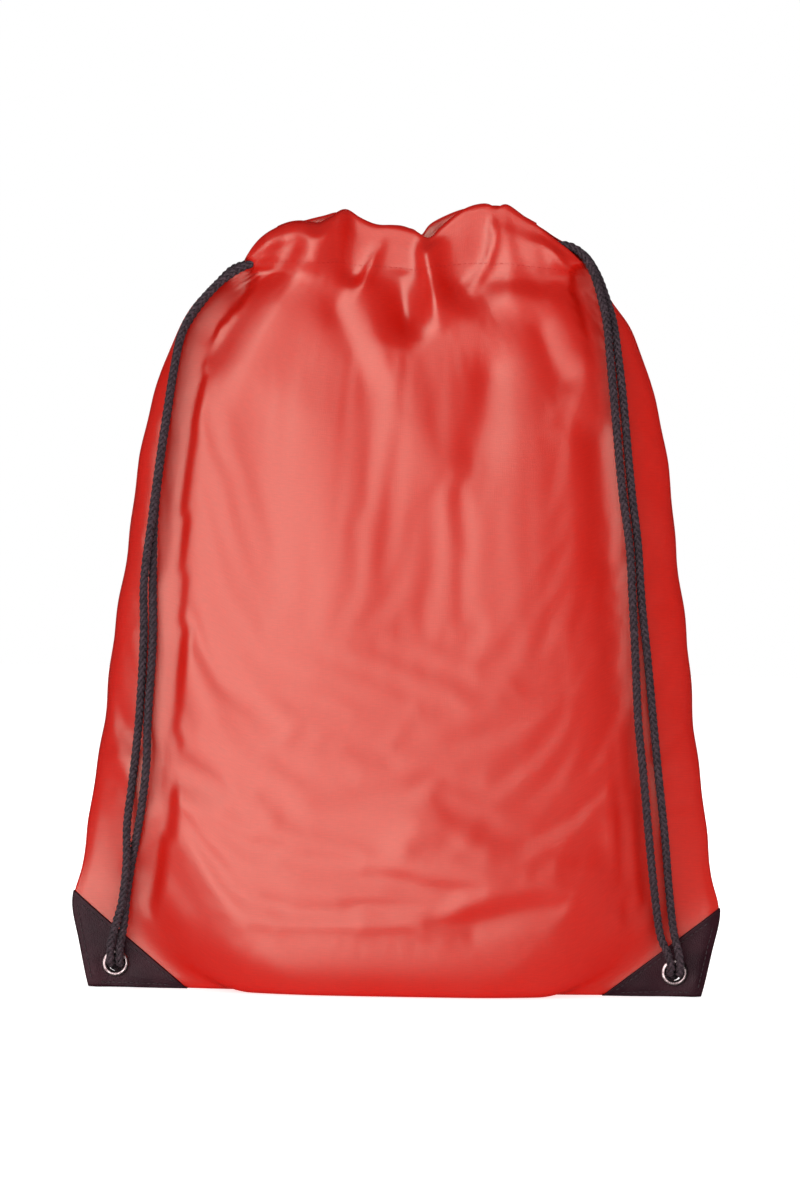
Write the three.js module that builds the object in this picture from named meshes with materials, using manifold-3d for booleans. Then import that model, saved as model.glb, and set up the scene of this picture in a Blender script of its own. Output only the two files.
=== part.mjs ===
// Drawstring backpack (cinch bag): two fabric panels sewn at the sides and bottom, a gathered
// hem channel on each lip, leatherette corner patches with eyelets, and two looped cords.
//
// Units are millimetres. +Z is up, the front (strap side) faces -Y, and +X is to the right
// when looking at the front. The origin is under the middle of the base, on the floor.

import * as THREE from 'three';
import { mergeVertices } from 'three/addons/utils/BufferGeometryUtils.js';
import Module from 'manifold-3d';

const wasm = await Module();
wasm.setup();

// ---------------------------------------------------------------- driving dimensions

const PANEL_TOP = 372;          // height of the stitch line under the hem channels
const PANEL_WALL = 1.1;         // wall of a panel shell
const LAYER_GAP = 0.65;         // distance from the seam plane (y = 0) to a panel's inner face
const FRONT = -1;
const BACK = 1;
const LEFT = -1;
const RIGHT = 1;

const BASE_HALF_DEPTH = 26;     // flat part of the base, from the seam to the front crease
const BELLY_HALF_DEPTH = 41;    // deepest part of the filled bag
const NECK_HALF_DEPTH = 12;     // where the panels meet the hem channels

const FOOT_HALF_WIDTH = 160;    // lower tip of a bottom corner
const EAR_HALF_WIDTH = 169;     // outermost point of a bottom corner
const EAR_HEIGHT = 45;
const MOUTH_HALF_WIDTH = 88;    // half of the gathered top edge of a panel

const HEM_BOTTOM = 375;
const HEM_HALF_LENGTH = 78;
const HEM_INNER_Y = 5.5;        // face of a hem channel on the mouth side
const HEM_OUTER_Y = 14;
const HEM_WALL = 1.2;
const CHANNEL_MOUTH = 66;       // beyond this the channel is open towards the other lip
const CHANNEL_Y = 9.75;         // middle of a channel
const LOW_RUN_Z = 381;          // the left cord's runs inside the channels
const HIGH_RUN_Z = 386.6;       // the right cord's runs

const SEAM_ALLOWANCE = 9;       // width of the sewn strip inside each seam
const SEAM_HALF_THICKNESS = 0.3;
const SEAM_INSET = 0.4;

const PATCH_LEG = 50;           // corner patch, along the side edge
const PATCH_FOOT = 54;          // corner patch, along the bottom edge
const PATCH_WALL = 0.9;
const PATCH_GAP = 0.4;

const EYELET_X = 146;
const EYELET_Z = 13;
const EYELET_BORE_RADIUS = 4.75;
const EYELET_BARREL_RADIUS = 5.5;
const EYELET_FLANGE_RADIUS = 7;
const EYELET_HOLE_RADIUS = 5.8;
const WASHER_BORE_RADIUS = 5.8;
const METAL_WALL = 0.8;

const CORD_RADIUS = 2.25;
const KNOT_RADIUS = 7;
const TOUCH_GAP = 0.3;

// ---------------------------------------------------------------- materials

const fabric = { color: 0xd2261c, roughness: 0.55, metalness: 0 };
const seamTape = { color: 0xb01b14, roughness: 0.7, metalness: 0 };
const leatherette = { color: 0x2a1316, roughness: 0.4, metalness: 0 };
const nickel = { color: 0xb9b4ae, roughness: 0.3, metalness: 1 };
const cordYarn = { color: 0x2b2327, roughness: 0.85, metalness: 0 };

// ---------------------------------------------------------------- mesh helpers

const backpack = new THREE.Group();

function addNode(name, geometry, finish) {
  const mesh = new THREE.Mesh(geometry, new THREE.MeshStandardMaterial(finish));
  mesh.name = name;
  backpack.add(mesh);
}

function geometryFrom(points, triangles) {
  const geometry = new THREE.BufferGeometry();
  const positions = points.flatMap((point) => [point.x, point.y, point.z]);
  geometry.setAttribute('position', new THREE.Float32BufferAttribute(positions, 3));
  geometry.setIndex(triangles);
  return faceOutward(geometry);
}

function signedVolume(geometry) {
  const position = geometry.attributes.position;
  const index = geometry.index.array;
  const corner = (i) => new THREE.Vector3().fromBufferAttribute(position, index[i]);
  let volume = 0;
  for (let i = 0; i < index.length; i += 3) {
    volume += corner(i).dot(corner(i + 1).cross(corner(i + 2))) / 6;
  }
  return volume;
}

function faceOutward(geometry) {
  if (signedVolume(geometry) > 0) return geometry;
  const index = geometry.index.array;
  for (let i = 0; i < index.length; i += 3) {
    [index[i], index[i + 1]] = [index[i + 1], index[i]];
  }
  return geometry;
}

function toSolid(geometry) {
  const bare = geometry.clone();
  bare.deleteAttribute('normal');
  bare.deleteAttribute('uv');
  const merged = mergeVertices(bare, 1e-4);
  return new wasm.Manifold(new wasm.Mesh({
    numProp: 3,
    vertProperties: new Float32Array(merged.attributes.position.array),
    triVerts: new Uint32Array(merged.index.array),
  }));
}

function toGeometry(solid) {
  const mesh = solid.getMesh();
  const geometry = new THREE.BufferGeometry();
  geometry.setAttribute('position', new THREE.Float32BufferAttribute(mesh.vertProperties, 3));
  geometry.setIndex(Array.from(mesh.triVerts));
  return geometry;
}

// Two skins with the same rows and columns of points become one closed sheet.
function sheetSolid(outer, inner) {
  const rows = outer.length;
  const columns = outer[0].length;
  const points = [...outer.flat(), ...inner.flat()];
  const outerAt = (row, column) => row * columns + column;
  const innerAt = (row, column) => rows * columns + outerAt(row, column);
  const triangles = [];
  const quad = (a, b, c, d) => triangles.push(a, b, c, a, c, d);
  for (let row = 0; row < rows - 1; row++) {
    for (let column = 0; column < columns - 1; column++) {
      quad(outerAt(row, column), outerAt(row, column + 1),
        outerAt(row + 1, column + 1), outerAt(row + 1, column));
      quad(innerAt(row, column), innerAt(row + 1, column),
        innerAt(row + 1, column + 1), innerAt(row, column + 1));
    }
    for (const [near, far, column] of [[row, row + 1, columns - 1], [row + 1, row, 0]]) {
      quad(outerAt(near, column), innerAt(near, column), innerAt(far, column), outerAt(far, column));
    }
  }
  for (let column = 0; column < columns - 1; column++) {
    for (const [near, far, row] of [[column + 1, column, rows - 1], [column, column + 1, 0]]) {
      quad(outerAt(row, near), innerAt(row, near), innerAt(row, far), outerAt(row, far));
    }
  }
  return geometryFrom(points, triangles);
}

// Rings of outer and inner points along a line become one tunnel, open at both ends.
function tunnelSolid(outerRings, innerRings) {
  const rings = outerRings.length;
  const sides = outerRings[0].length;
  const points = [...outerRings.flat(), ...innerRings.flat()];
  const outerAt = (ring, side) => ring * sides + (side % sides);
  const innerAt = (ring, side) => rings * sides + outerAt(ring, side);
  const triangles = [];
  const quad = (a, b, c, d) => triangles.push(a, b, c, a, c, d);
  for (let side = 0; side < sides; side++) {
    for (let ring = 0; ring < rings - 1; ring++) {
      quad(outerAt(ring, side), outerAt(ring + 1, side),
        outerAt(ring + 1, side + 1), outerAt(ring, side + 1));
      quad(innerAt(ring, side), innerAt(ring, side + 1),
        innerAt(ring + 1, side + 1), innerAt(ring + 1, side));
    }
    quad(outerAt(0, side), outerAt(0, side + 1), innerAt(0, side + 1), innerAt(0, side));
    quad(outerAt(rings - 1, side), innerAt(rings - 1, side),
      innerAt(rings - 1, side + 1), outerAt(rings - 1, side + 1));
  }
  return geometryFrom(points, triangles);
}

function polygonShape(radius, sides) {
  const corners = [];
  for (let side = 0; side < sides; side++) {
    const angle = (side / sides) * 2 * Math.PI;
    corners.push(new THREE.Vector2(radius * Math.cos(angle), radius * Math.sin(angle)));
  }
  return new THREE.Shape(corners);
}

function cordTube(route, stepLength = 13) {
  const path = new THREE.CatmullRomCurve3(route.map((point) => new THREE.Vector3(...point)));
  const steps = Math.max(2, Math.round(path.getLength() / stepLength));
  return new THREE.ExtrudeGeometry(polygonShape(CORD_RADIUS, 8), { steps, extrudePath: path });
}

// A turned piece whose axis lies along Y, from a profile of [radius, y] points.
function turnedAlongY(profile, segments, x, z) {
  const outline = profile.map(([radius, y]) => new THREE.Vector2(radius, y));
  return new THREE.LatheGeometry(outline, segments).translate(x, 0, z);
}

function drilledAlongY(geometry, x, z, radius) {
  const drill = new THREE.CylinderGeometry(radius, radius, 60, 24).translate(x, 0, z);
  return toGeometry(toSolid(geometry).subtract(toSolid(drill)));
}

// ---------------------------------------------------------------- shape of the filled bag

const smooth = THREE.MathUtils.smoothstep;
const mix = THREE.MathUtils.lerp;

// Profile on the centre line: half depth against height, from the bottom seam to the hem.
const centreProfile = new THREE.Path();
centreProfile.moveTo(0, 0);
centreProfile.lineTo(BASE_HALF_DEPTH, 0);
centreProfile.bezierCurveTo(38, 0, BELLY_HALF_DEPTH, 30, BELLY_HALF_DEPTH, 90);
centreProfile.bezierCurveTo(BELLY_HALF_DEPTH, 210, 30, 300, NECK_HALF_DEPTH, PANEL_TOP);

// Side edge of the bag: half width against height, from the bottom corner to the mouth.
const sideEdge = new THREE.SplineCurve([
  new THREE.Vector2(FOOT_HALF_WIDTH, 0.4),
  new THREE.Vector2(165, 24),
  new THREE.Vector2(EAR_HALF_WIDTH, EAR_HEIGHT),
  new THREE.Vector2(164.5, 64),
  new THREE.Vector2(159.5, 100),
  new THREE.Vector2(152, 163),
  new THREE.Vector2(144.5, 226),
  new THREE.Vector2(136, 288),
  new THREE.Vector2(129, 320),
  new THREE.Vector2(118, 344),
  new THREE.Vector2(104, 362),
  new THREE.Vector2(MOUTH_HALF_WIDTH, PANEL_TOP),
]);
const SIDE_LENGTH = sideEdge.getLength();

// How far from flat a panel stands: full on the centre line, none at the sewn edges.
function fullness(u, v) {
  const across = (1 - Math.abs(u) ** mix(2.2, 4, v)) ** 0.6;
  const fromCorner = (1 - Math.abs(u)) * FOOT_HALF_WIDTH + v * SIDE_LENGTH;
  return across * smooth(fromCorner, 38, 150);
}

// Outer surface of a panel. u runs from the left seam (-1) to the right seam (1), v from the
// bottom seam (0) to the hem (1), and both measure length along the fabric.
function panelPoint(u, v, side) {
  const centre = centreProfile.getPointAt(v);
  const edge = sideEdge.getPointAt(v);
  const depth = LAYER_GAP + PANEL_WALL + centre.x * fullness(u, v);
  const height = mix(centre.y, edge.y, smooth(Math.abs(u), 0.45, 0.85));
  return new THREE.Vector3(u * edge.x, side * depth, height);
}

// Inner surface: the outer point moved in by the wall, leaning towards the seam plane so that
// the cut edges of a panel keep their thickness.
function panelInnerPoint(u, v, side) {
  const step = 0.004;
  const before = (value, low) => Math.max(low, value - step);
  const after = (value) => Math.min(1, value + step);
  const along = panelPoint(after(u), v, side).sub(panelPoint(before(u, -1), v, side));
  const up = panelPoint(u, after(v), side).sub(panelPoint(u, before(v, 0), side));
  const inward = along.cross(up).normalize().multiplyScalar(side);
  inward.y -= 0.8 * side;
  inward.normalize();
  return panelPoint(u, v, side).addScaledVector(inward, PANEL_WALL);
}

// ---------------------------------------------------------------- fabric panels

const PANEL_COLUMNS = 20;
const PANEL_ROWS = 20;

// Columns crowd towards the side seams, where the fabric turns quickly.
function panelColumn(i) {
  const t = (2 * i) / PANEL_COLUMNS - 1;
  return Math.sign(t) * Math.sin((Math.abs(t) * Math.PI) / 2) ** 0.9;
}

// A grid of points over part of a panel; the default is the whole panel.
function panelSkin(pointAt, side, columns = [0, PANEL_COLUMNS], rows = [0, PANEL_ROWS]) {
  const skin = [];
  for (let j = rows[0]; j <= rows[1]; j++) {
    const row = [];
    for (let i = columns[0]; i <= columns[1]; i++) {
      row.push(pointAt(panelColumn(i), j / PANEL_ROWS, side));
    }
    skin.push(row);
  }
  return skin;
}

function panel(side) {
  let geometry = sheetSolid(panelSkin(panelPoint, side), panelSkin(panelInnerPoint, side));
  for (const end of [LEFT, RIGHT]) {
    geometry = drilledAlongY(geometry, end * EYELET_X, EYELET_Z, EYELET_HOLE_RADIUS);
  }
  return geometry;
}

addNode('front_panel', panel(FRONT), fabric);
addNode('back_panel', panel(BACK), fabric);

// ---------------------------------------------------------------- seams

// A flat strip in the seam plane, between two lines of [x, z] points.
function seamStrip(outerLine, innerLine) {
  const skin = (y) => [outerLine, innerLine].map((line) => (
    line.map(([x, z]) => new THREE.Vector3(x, y, z))));
  return sheetSolid(skin(-SEAM_HALF_THICKNESS), skin(SEAM_HALF_THICKNESS));
}

function sideSeam(end) {
  const rows = 24;
  const start = 0.06;
  const outerLine = [];
  const innerLine = [];
  for (let j = 0; j <= rows; j++) {
    const point = sideEdge.getPointAt(mix(start, 0.985, j / rows));
    outerLine.push([end * (point.x - SEAM_INSET), point.y]);
    innerLine.push([end * (point.x - SEAM_INSET - SEAM_ALLOWANCE), point.y]);
  }
  return seamStrip(outerLine, innerLine);
}

function bottomSeam() {
  const columns = 12;
  const reach = EYELET_X - EYELET_HOLE_RADIUS - 2;
  const bottomLine = [];
  const topLine = [];
  for (let i = 0; i <= columns; i++) {
    const x = mix(-reach, reach, i / columns);
    bottomLine.push([x, SEAM_INSET]);
    topLine.push([x, SEAM_INSET + SEAM_ALLOWANCE]);
  }
  return seamStrip(bottomLine, topLine);
}

addNode('left_side_seam', sideSeam(LEFT), seamTape);
addNode('right_side_seam', sideSeam(RIGHT), seamTape);
addNode('bottom_seam', bottomSeam(), seamTape);

// ---------------------------------------------------------------- hem channels

// Top line of the gathered lips, which dips between two puffs of fabric.
const hemTop = new THREE.SplineCurve([
  new THREE.Vector2(-HEM_HALF_LENGTH, 398),
  new THREE.Vector2(-62, 403),
  new THREE.Vector2(-34, 408),
  new THREE.Vector2(-12, 401),
  new THREE.Vector2(7, 397),
  new THREE.Vector2(26, 408),
  new THREE.Vector2(46, 413),
  new THREE.Vector2(63, 409),
  new THREE.Vector2(HEM_HALF_LENGTH, 402),
]);

// One closed outline of the flattened channel, inset by the wall for its inner face.
function hemRing(station, side, inset) {
  const corners = 14;
  const squareness = 0.6;
  const midZ = (HEM_BOTTOM + station.y) / 2;
  const halfY = (HEM_OUTER_Y - HEM_INNER_Y) / 2 - inset;
  const halfZ = (station.y - HEM_BOTTOM) / 2 - inset;
  const ring = [];
  for (let corner = 0; corner < corners; corner++) {
    const angle = (corner / corners) * 2 * Math.PI;
    const y = Math.sign(Math.cos(angle)) * Math.abs(Math.cos(angle)) ** squareness;
    const z = Math.sign(Math.sin(angle)) * Math.abs(Math.sin(angle)) ** squareness;
    ring.push(new THREE.Vector3(station.x, side * (CHANNEL_Y + halfY * y), midZ + halfZ * z));
  }
  return ring;
}

// Past each channel mouth only the outer half of the channel is left, so that a cord can turn
// from one lip's channel into the other's. The cut stands back a little from the cords' ends.
function hemChannel(side) {
  const stations = hemTop.getPoints(16);
  const tunnel = tunnelSolid(
    stations.map((station) => hemRing(station, side, 0)),
    stations.map((station) => hemRing(station, side, HEM_WALL)),
  );
  const openLength = 20;
  let solid = toSolid(tunnel);
  for (const end of [LEFT, RIGHT]) {
    const opening = new THREE.BoxGeometry(openLength, CHANNEL_Y, 80);
    const middleX = end * (CHANNEL_MOUTH - TOUCH_GAP + openLength / 2);
    opening.translate(middleX, (side * CHANNEL_Y) / 2, HEM_BOTTOM);
    solid = solid.subtract(toSolid(opening));
  }
  return toGeometry(solid);
}

addNode('front_hem_channel', hemChannel(FRONT), fabric);
addNode('back_hem_channel', hemChannel(BACK), fabric);

// ---------------------------------------------------------------- corner patches

// A prism along Y that covers the corner below the patch's sloping edge.
function cornerPrism(end) {
  const top = new THREE.Vector2(end * EAR_HALF_WIDTH, PATCH_LEG);
  const foot = new THREE.Vector2(end * (FOOT_HALF_WIDTH - PATCH_FOOT), 0);
  const slope = top.clone().sub(foot);
  const outline = new THREE.Shape([
    top.clone().add(slope),
    foot.clone().sub(slope),
    new THREE.Vector2(end * 2 * EAR_HALF_WIDTH, -PATCH_LEG),
  ]);
  const depth = 60;
  const prism = new THREE.ExtrudeGeometry(outline, { depth, bevelEnabled: false });
  return prism.rotateX(Math.PI / 2).translate(0, depth / 2, 0);
}

// A triangle of leatherette over the bottom corner, on the outside of one panel. It is cut
// from a sheet that follows the panel's own surface.
function cornerPatch(end, side) {
  const reach = 7;
  const columns = end === LEFT ? [0, reach] : [PANEL_COLUMNS - reach, PANEL_COLUMNS];
  const skin = (offset) => panelSkin((u, v) => {
    const point = panelPoint(u, v, side);
    return point.setY(point.y + side * offset);
  }, side, columns, [0, 5]);
  const sheet = sheetSolid(skin(PATCH_GAP + PATCH_WALL), skin(PATCH_GAP));
  const corner = toSolid(sheet).intersect(toSolid(cornerPrism(end)));
  return drilledAlongY(toGeometry(corner), end * EYELET_X, EYELET_Z, EYELET_HOLE_RADIUS);
}

// ---------------------------------------------------------------- eyelets and knots

const PATCH_FACE = LAYER_GAP + PANEL_WALL + PATCH_GAP + PATCH_WALL;
const FLANGE_BACK = PATCH_FACE + TOUCH_GAP;
const FLANGE_FACE = FLANGE_BACK + METAL_WALL;

// Rolled flange on the front, and a barrel through both patches and both panels.
function eyelet(end) {
  const edgeRound = METAL_WALL / 2;
  return turnedAlongY([
    [EYELET_BORE_RADIUS, FLANGE_FACE],
    [EYELET_BORE_RADIUS, -FLANGE_FACE + edgeRound],
    [EYELET_BORE_RADIUS + edgeRound, -FLANGE_FACE],
    [EYELET_FLANGE_RADIUS - edgeRound, -FLANGE_FACE],
    [EYELET_FLANGE_RADIUS, -FLANGE_FACE + edgeRound],
    [EYELET_FLANGE_RADIUS, -FLANGE_BACK],
    [EYELET_BARREL_RADIUS, -FLANGE_BACK],
    [EYELET_BARREL_RADIUS, FLANGE_FACE],
    [EYELET_BORE_RADIUS, FLANGE_FACE],
  ], 28, end * EYELET_X, EYELET_Z);
}

function washer(end) {
  return turnedAlongY([
    [WASHER_BORE_RADIUS, FLANGE_BACK],
    [EYELET_FLANGE_RADIUS, FLANGE_BACK],
    [EYELET_FLANGE_RADIUS, FLANGE_FACE - 0.1],
    [WASHER_BORE_RADIUS, FLANGE_FACE],
    [WASHER_BORE_RADIUS, FLANGE_BACK],
  ], 28, end * EYELET_X, EYELET_Z);
}

const NECK_RADIUS = EYELET_BORE_RADIUS - TOUCH_GAP;
const KNOT_START = FLANGE_FACE + TOUCH_GAP;
const KNOT_LENGTH = 12;

// Both ends of one cord, squeezed through the bore and tied in a knot behind the eyelet.
function knot(end) {
  const middle = KNOT_START + KNOT_LENGTH / 2;
  const body = turnedAlongY([
    [0, -FLANGE_FACE],
    [NECK_RADIUS, -FLANGE_FACE],
    [NECK_RADIUS, KNOT_START],
    [KNOT_RADIUS * 0.85, KNOT_START + 0.6],
    [KNOT_RADIUS, middle - 2],
    [KNOT_RADIUS, middle + 2],
    [KNOT_RADIUS * 0.7, KNOT_START + KNOT_LENGTH - 1],
    [0, KNOT_START + KNOT_LENGTH],
  ], 16, end * EYELET_X, EYELET_Z);
  let solid = toSolid(body);
  for (const tail of [LEFT, RIGHT]) {
    const x = end * EYELET_X + tail * 3;
    const route = [
      [x, middle, EYELET_Z],
      [x + tail * 1.5, middle + 6, EYELET_Z - 3.5],
      [x + tail * 2.5, middle + 9, EYELET_Z - 9.5],
    ];
    solid = solid.add(toSolid(cordTube(route, 4)));
  }
  return toGeometry(solid);
}

for (const [name, end] of [['left', LEFT], ['right', RIGHT]]) {
  addNode(`${name}_corner_patch_front`, cornerPatch(end, FRONT), leatherette);
  addNode(`${name}_corner_patch_back`, cornerPatch(end, BACK), leatherette);
  addNode(`${name}_eyelet`, eyelet(end), nickel);
  addNode(`${name}_eyelet_washer`, washer(end), nickel);
  addNode(`${name}_cord_knot`, knot(end), cordYarn);
}

// ---------------------------------------------------------------- cords

const RUN_END = CHANNEL_MOUTH - TOUCH_GAP / 2;
const STRAND_START = CHANNEL_MOUTH + TOUCH_GAP / 2;

// Each cord starts at its own eyelet, goes up to the mouth, through one channel, turns at the
// far side, comes back through the other channel and goes down to the same eyelet.
const strandRoutes = {
  left_cord_front_strand: [
    [-STRAND_START, -CHANNEL_Y, LOW_RUN_Z],
    [-72, -9.8, 380.8],
    [-84, -10.6, 377.5],
    [-95, -12, 370.5],
    [-105, -13.5, 360.5],
    [-112.5, -14.8, 350],
    [-117, -16.8, 339],
    [-120, -19.9, 322],
    [-123, -23, 300],
    [-126, -25, 276],
    [-129.5, -27, 245],
    [-133, -27, 213],
    [-132.8, -25.6, 182],
    [-134.5, -26.2, 140],
    [-137.5, -24.4, 108],
    [-139.8, -23.4, 87],
    [-140, -20.4, 66],
    [-142.3, -15.2, 46],
    [-145.6, -11.6, 34],
    [-148, -10.4, 24],
    [-148.4, -8.6, 17.5],
    [-148.4, -6.2, 13.8],
  ],
  left_cord_back_strand: [
    [-STRAND_START, CHANNEL_Y, LOW_RUN_Z],
    [-69.5, 9.7, 381],
    [-76, 8.4, 381.2],
    [-83, 5, 380],
    [-91, -1, 376.5],
    [-98, -6, 369],
    [-106, -8.6, 359.5],
    [-113, -9.9, 349],
    [-117.4, -11.8, 339],
    [-120.3, -15, 322],
    [-123, -18, 300],
    [-126, -20, 276],
    [-128.6, -22, 245],
    [-128.6, -24.8, 213],
    [-128, -26.8, 182],
    [-129.8, -27.8, 140],
    [-130, -28.6, 119],
    [-132, -26.4, 98],
    [-135, -20.9, 80],
    [-138, -15, 64],
    [-140.4, -10.8, 47],
    [-141.6, -8.8, 34],
    [-143.2, -9.2, 24],
    [-143.6, -8.2, 17.5],
    [-143.6, -6.2, 13.8],
  ],
  right_cord_front_strand: [
    [STRAND_START, -CHANNEL_Y, HIGH_RUN_Z],
    [69, -CHANNEL_Y, HIGH_RUN_Z],
    [73, -9.8, 389],
    [79, -9.6, 391.2],
    [86, -9.4, 390],
    [92.5, -9.4, 385],
    [97.5, -10, 375.5],
    [101, -12, 364],
    [104, -15.6, 350],
    [106, -20, 330],
    [108, -23.3, 310],
    [110, -25.4, 290],
    [113, -27.4, 262],
    [117, -28.6, 235],
    [119, -29.8, 207],
    [121, -30.8, 176],
    [123, -31, 144],
    [126, -30.6, 118],
    [130, -24.8, 84],
    [133.5, -17, 58],
    [137.5, -9.6, 34],
    [141.5, -9.2, 24],
    [143.6, -8.2, 17.5],
    [143.6, -6.2, 13.8],
  ],
  right_cord_back_strand: [
    [STRAND_START, CHANNEL_Y, HIGH_RUN_Z],
    [69, CHANNEL_Y, HIGH_RUN_Z],
    [73, 9.6, 389],
    [79, 8, 391.4],
    [86, 4.6, 390.8],
    [93, 0.4, 386.5],
    [99, -3.8, 377],
    [103.4, -7.6, 365.5],
    [107.6, -12.2, 351],
    [110.6, -18.2, 330],
    [113, -21.5, 310],
    [115, -23.6, 290],
    [118, -25.4, 262],
    [121.6, -26.3, 235],
    [123.8, -27.4, 207],
    [127.5, -27.6, 176],
    [131, -27.6, 144],
    [134, -26.6, 118],
    [138.5, -20, 84],
    [141.5, -12, 58],
    [144.5, -8.6, 36],
    [147.4, -9.4, 24],
    [148.4, -8.4, 17.5],
    [148.4, -6.2, 13.8],
  ],
};

function channelRun(side, height) {
  return cordTube([
    [-RUN_END, side * CHANNEL_Y, height],
    [0, side * CHANNEL_Y, height],
    [RUN_END, side * CHANNEL_Y, height],
  ]);
}

// The loop by which a cord passes from the front channel to the back one.
function channelTurn(end, height) {
  const route = [];
  const points = 6;
  const slack = 0.6;
  for (let i = 0; i <= points; i++) {
    const angle = (i / points) * Math.PI;
    const x = STRAND_START + slack + CHANNEL_Y * Math.sin(angle);
    route.push([end * x, -CHANNEL_Y * Math.cos(angle), height]);
  }
  return cordTube(route, 5);
}

for (const [name, route] of Object.entries(strandRoutes)) {
  addNode(name, cordTube(route), cordYarn);
}
for (const [cord, height, farEnd] of [
  ['left_cord', LOW_RUN_Z, RIGHT],
  ['right_cord', HIGH_RUN_Z, LEFT],
]) {
  addNode(`${cord}_front_run`, channelRun(FRONT, height), cordYarn);
  addNode(`${cord}_back_run`, channelRun(BACK, height), cordYarn);
  addNode(`${cord}_turn`, channelTurn(farEnd, height), cordYarn);
}

export default backpack;
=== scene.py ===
"""Drawstring backpack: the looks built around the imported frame.

Lengths in the tables are millimetres in the frame's own axes (+Z up, front towards -Y), and
MM turns them into metres. The camera and the cords come first, then the fabric, the trims,
the metal, the materials and the studio.
"""

import math

import bmesh
import bpy
import numpy as np
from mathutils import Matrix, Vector


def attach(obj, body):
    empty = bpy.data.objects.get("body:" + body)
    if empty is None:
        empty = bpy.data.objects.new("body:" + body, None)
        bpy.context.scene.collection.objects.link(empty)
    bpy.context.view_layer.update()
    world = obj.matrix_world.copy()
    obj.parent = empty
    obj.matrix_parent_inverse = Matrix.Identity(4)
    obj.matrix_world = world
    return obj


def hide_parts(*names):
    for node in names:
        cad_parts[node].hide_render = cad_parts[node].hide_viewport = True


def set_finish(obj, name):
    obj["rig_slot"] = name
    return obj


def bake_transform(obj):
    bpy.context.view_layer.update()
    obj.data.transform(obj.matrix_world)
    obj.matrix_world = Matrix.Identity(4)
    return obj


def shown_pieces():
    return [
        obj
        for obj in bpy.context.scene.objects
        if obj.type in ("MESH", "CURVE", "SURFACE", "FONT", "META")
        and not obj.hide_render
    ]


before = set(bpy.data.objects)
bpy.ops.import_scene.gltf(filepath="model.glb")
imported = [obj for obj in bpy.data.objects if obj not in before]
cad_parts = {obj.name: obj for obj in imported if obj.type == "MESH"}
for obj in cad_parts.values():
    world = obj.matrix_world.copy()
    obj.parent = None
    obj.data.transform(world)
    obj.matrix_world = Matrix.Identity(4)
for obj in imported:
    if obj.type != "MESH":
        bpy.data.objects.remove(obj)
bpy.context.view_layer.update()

MM = 0.001
FRONT, BACK = -1, 1
LEFT, RIGHT = -1, 1
SIDES = (("front", FRONT), ("back", BACK))
ENDS = (("left", LEFT), ("right", RIGHT))


# ---------------------------------------------------------------- numbers and lines

def smoothstep(value, low, high):
    t = np.clip((value - low) / (high - low), 0.0, 1.0)
    return t * t * (3.0 - 2.0 * t)


def mix(a, b, share):
    return a + (b - a) * share


def points_at(x, y, z):
    """Points from their coordinates, each of which is an array or one number."""
    return np.stack(np.broadcast_arrays(x, y, z), axis=-1).astype(float)


def unit(vectors):
    length = np.linalg.norm(vectors, axis=-1, keepdims=True)
    return vectors / np.maximum(length, 1e-9)


def along_line(line):
    """Length from the start of a line of points to each point."""
    return np.r_[0.0, np.cumsum(np.linalg.norm(np.diff(line, axis=0), axis=1))]


def resample(line, count):
    """The same line with points at equal steps of length."""
    length = along_line(line)
    at = np.linspace(0.0, length[-1], count)
    return np.stack([np.interp(at, length, line[:, k]) for k in range(line.shape[1])], axis=1)


def spline(points, count):
    """Catmull-Rom curve through the points, at equal steps of length."""
    p = np.array(points, float)
    p = np.vstack([2 * p[0] - p[1], p, 2 * p[-1] - p[-2]])
    t = np.linspace(0.0, 1.0, 24, endpoint=False)[:, None]
    spans = []
    for a, b, c, d in zip(p[:-3], p[1:-2], p[2:-1], p[3:]):
        spans.append(0.5 * (2 * b + (c - a) * t + (2 * a - 5 * b + 4 * c - d) * t ** 2
                            + (3 * b - a - 3 * c + d) * t ** 3))
    return resample(np.vstack(spans + [p[-2][None]]), count)


def bezier(a, b, c, d, count=80):
    t = np.linspace(0.0, 1.0, count)[:, None]
    a, b, c, d = (np.array(p, float) for p in (a, b, c, d))
    return a * (1 - t) ** 3 + 3 * b * t * (1 - t) ** 2 + 3 * c * t ** 2 * (1 - t) + d * t ** 3


def moving_frames(line):
    """Tangent and two side directions at each point, carried along without twist."""
    tangent = unit(np.gradient(line, axis=0))
    side = np.cross(tangent[0], (0.0, 0.0, 1.0))
    if np.linalg.norm(side) < 0.1:
        side = np.cross(tangent[0], (1.0, 0.0, 0.0))
    sides = []
    for t in tangent:
        side = unit(side - t * side.dot(t))
        sides.append(side)
    sides = np.array(sides)
    return tangent, sides, np.cross(tangent, sides)


# ---------------------------------------------------------------- meshes

def mesh_object(name, points, faces, uv=None):
    """A smooth-shaded mesh in metres from points in millimetres."""
    mesh = bpy.data.meshes.new(name)
    mesh.from_pydata((np.asarray(points, float) * MM).tolist(), [], faces)
    mesh.polygons.foreach_set("use_smooth", [True] * len(mesh.polygons))
    if uv is not None:
        layer = mesh.uv_layers.new(name="cloth")
        corner = np.empty(len(mesh.loops), int)
        mesh.loops.foreach_get("vertex_index", corner)
        layer.data.foreach_set("uv", np.asarray(uv, float)[corner].ravel())
    mesh.update()
    obj = bpy.data.objects.new(name, mesh)
    bpy.context.collection.objects.link(obj)
    return obj


def grid_faces(rows, columns, wrap=False):
    """Quads of a grid of points stored row by row; wrap joins the last column to the first."""
    j, i = np.meshgrid(np.arange(rows - 1), np.arange(columns if wrap else columns - 1),
                       indexing="ij")
    right = (i + 1) % columns
    quads = np.stack([j * columns + i, j * columns + right,
                      (j + 1) * columns + right, (j + 1) * columns + i], axis=-1)
    return quads.reshape(-1, 4)


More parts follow.
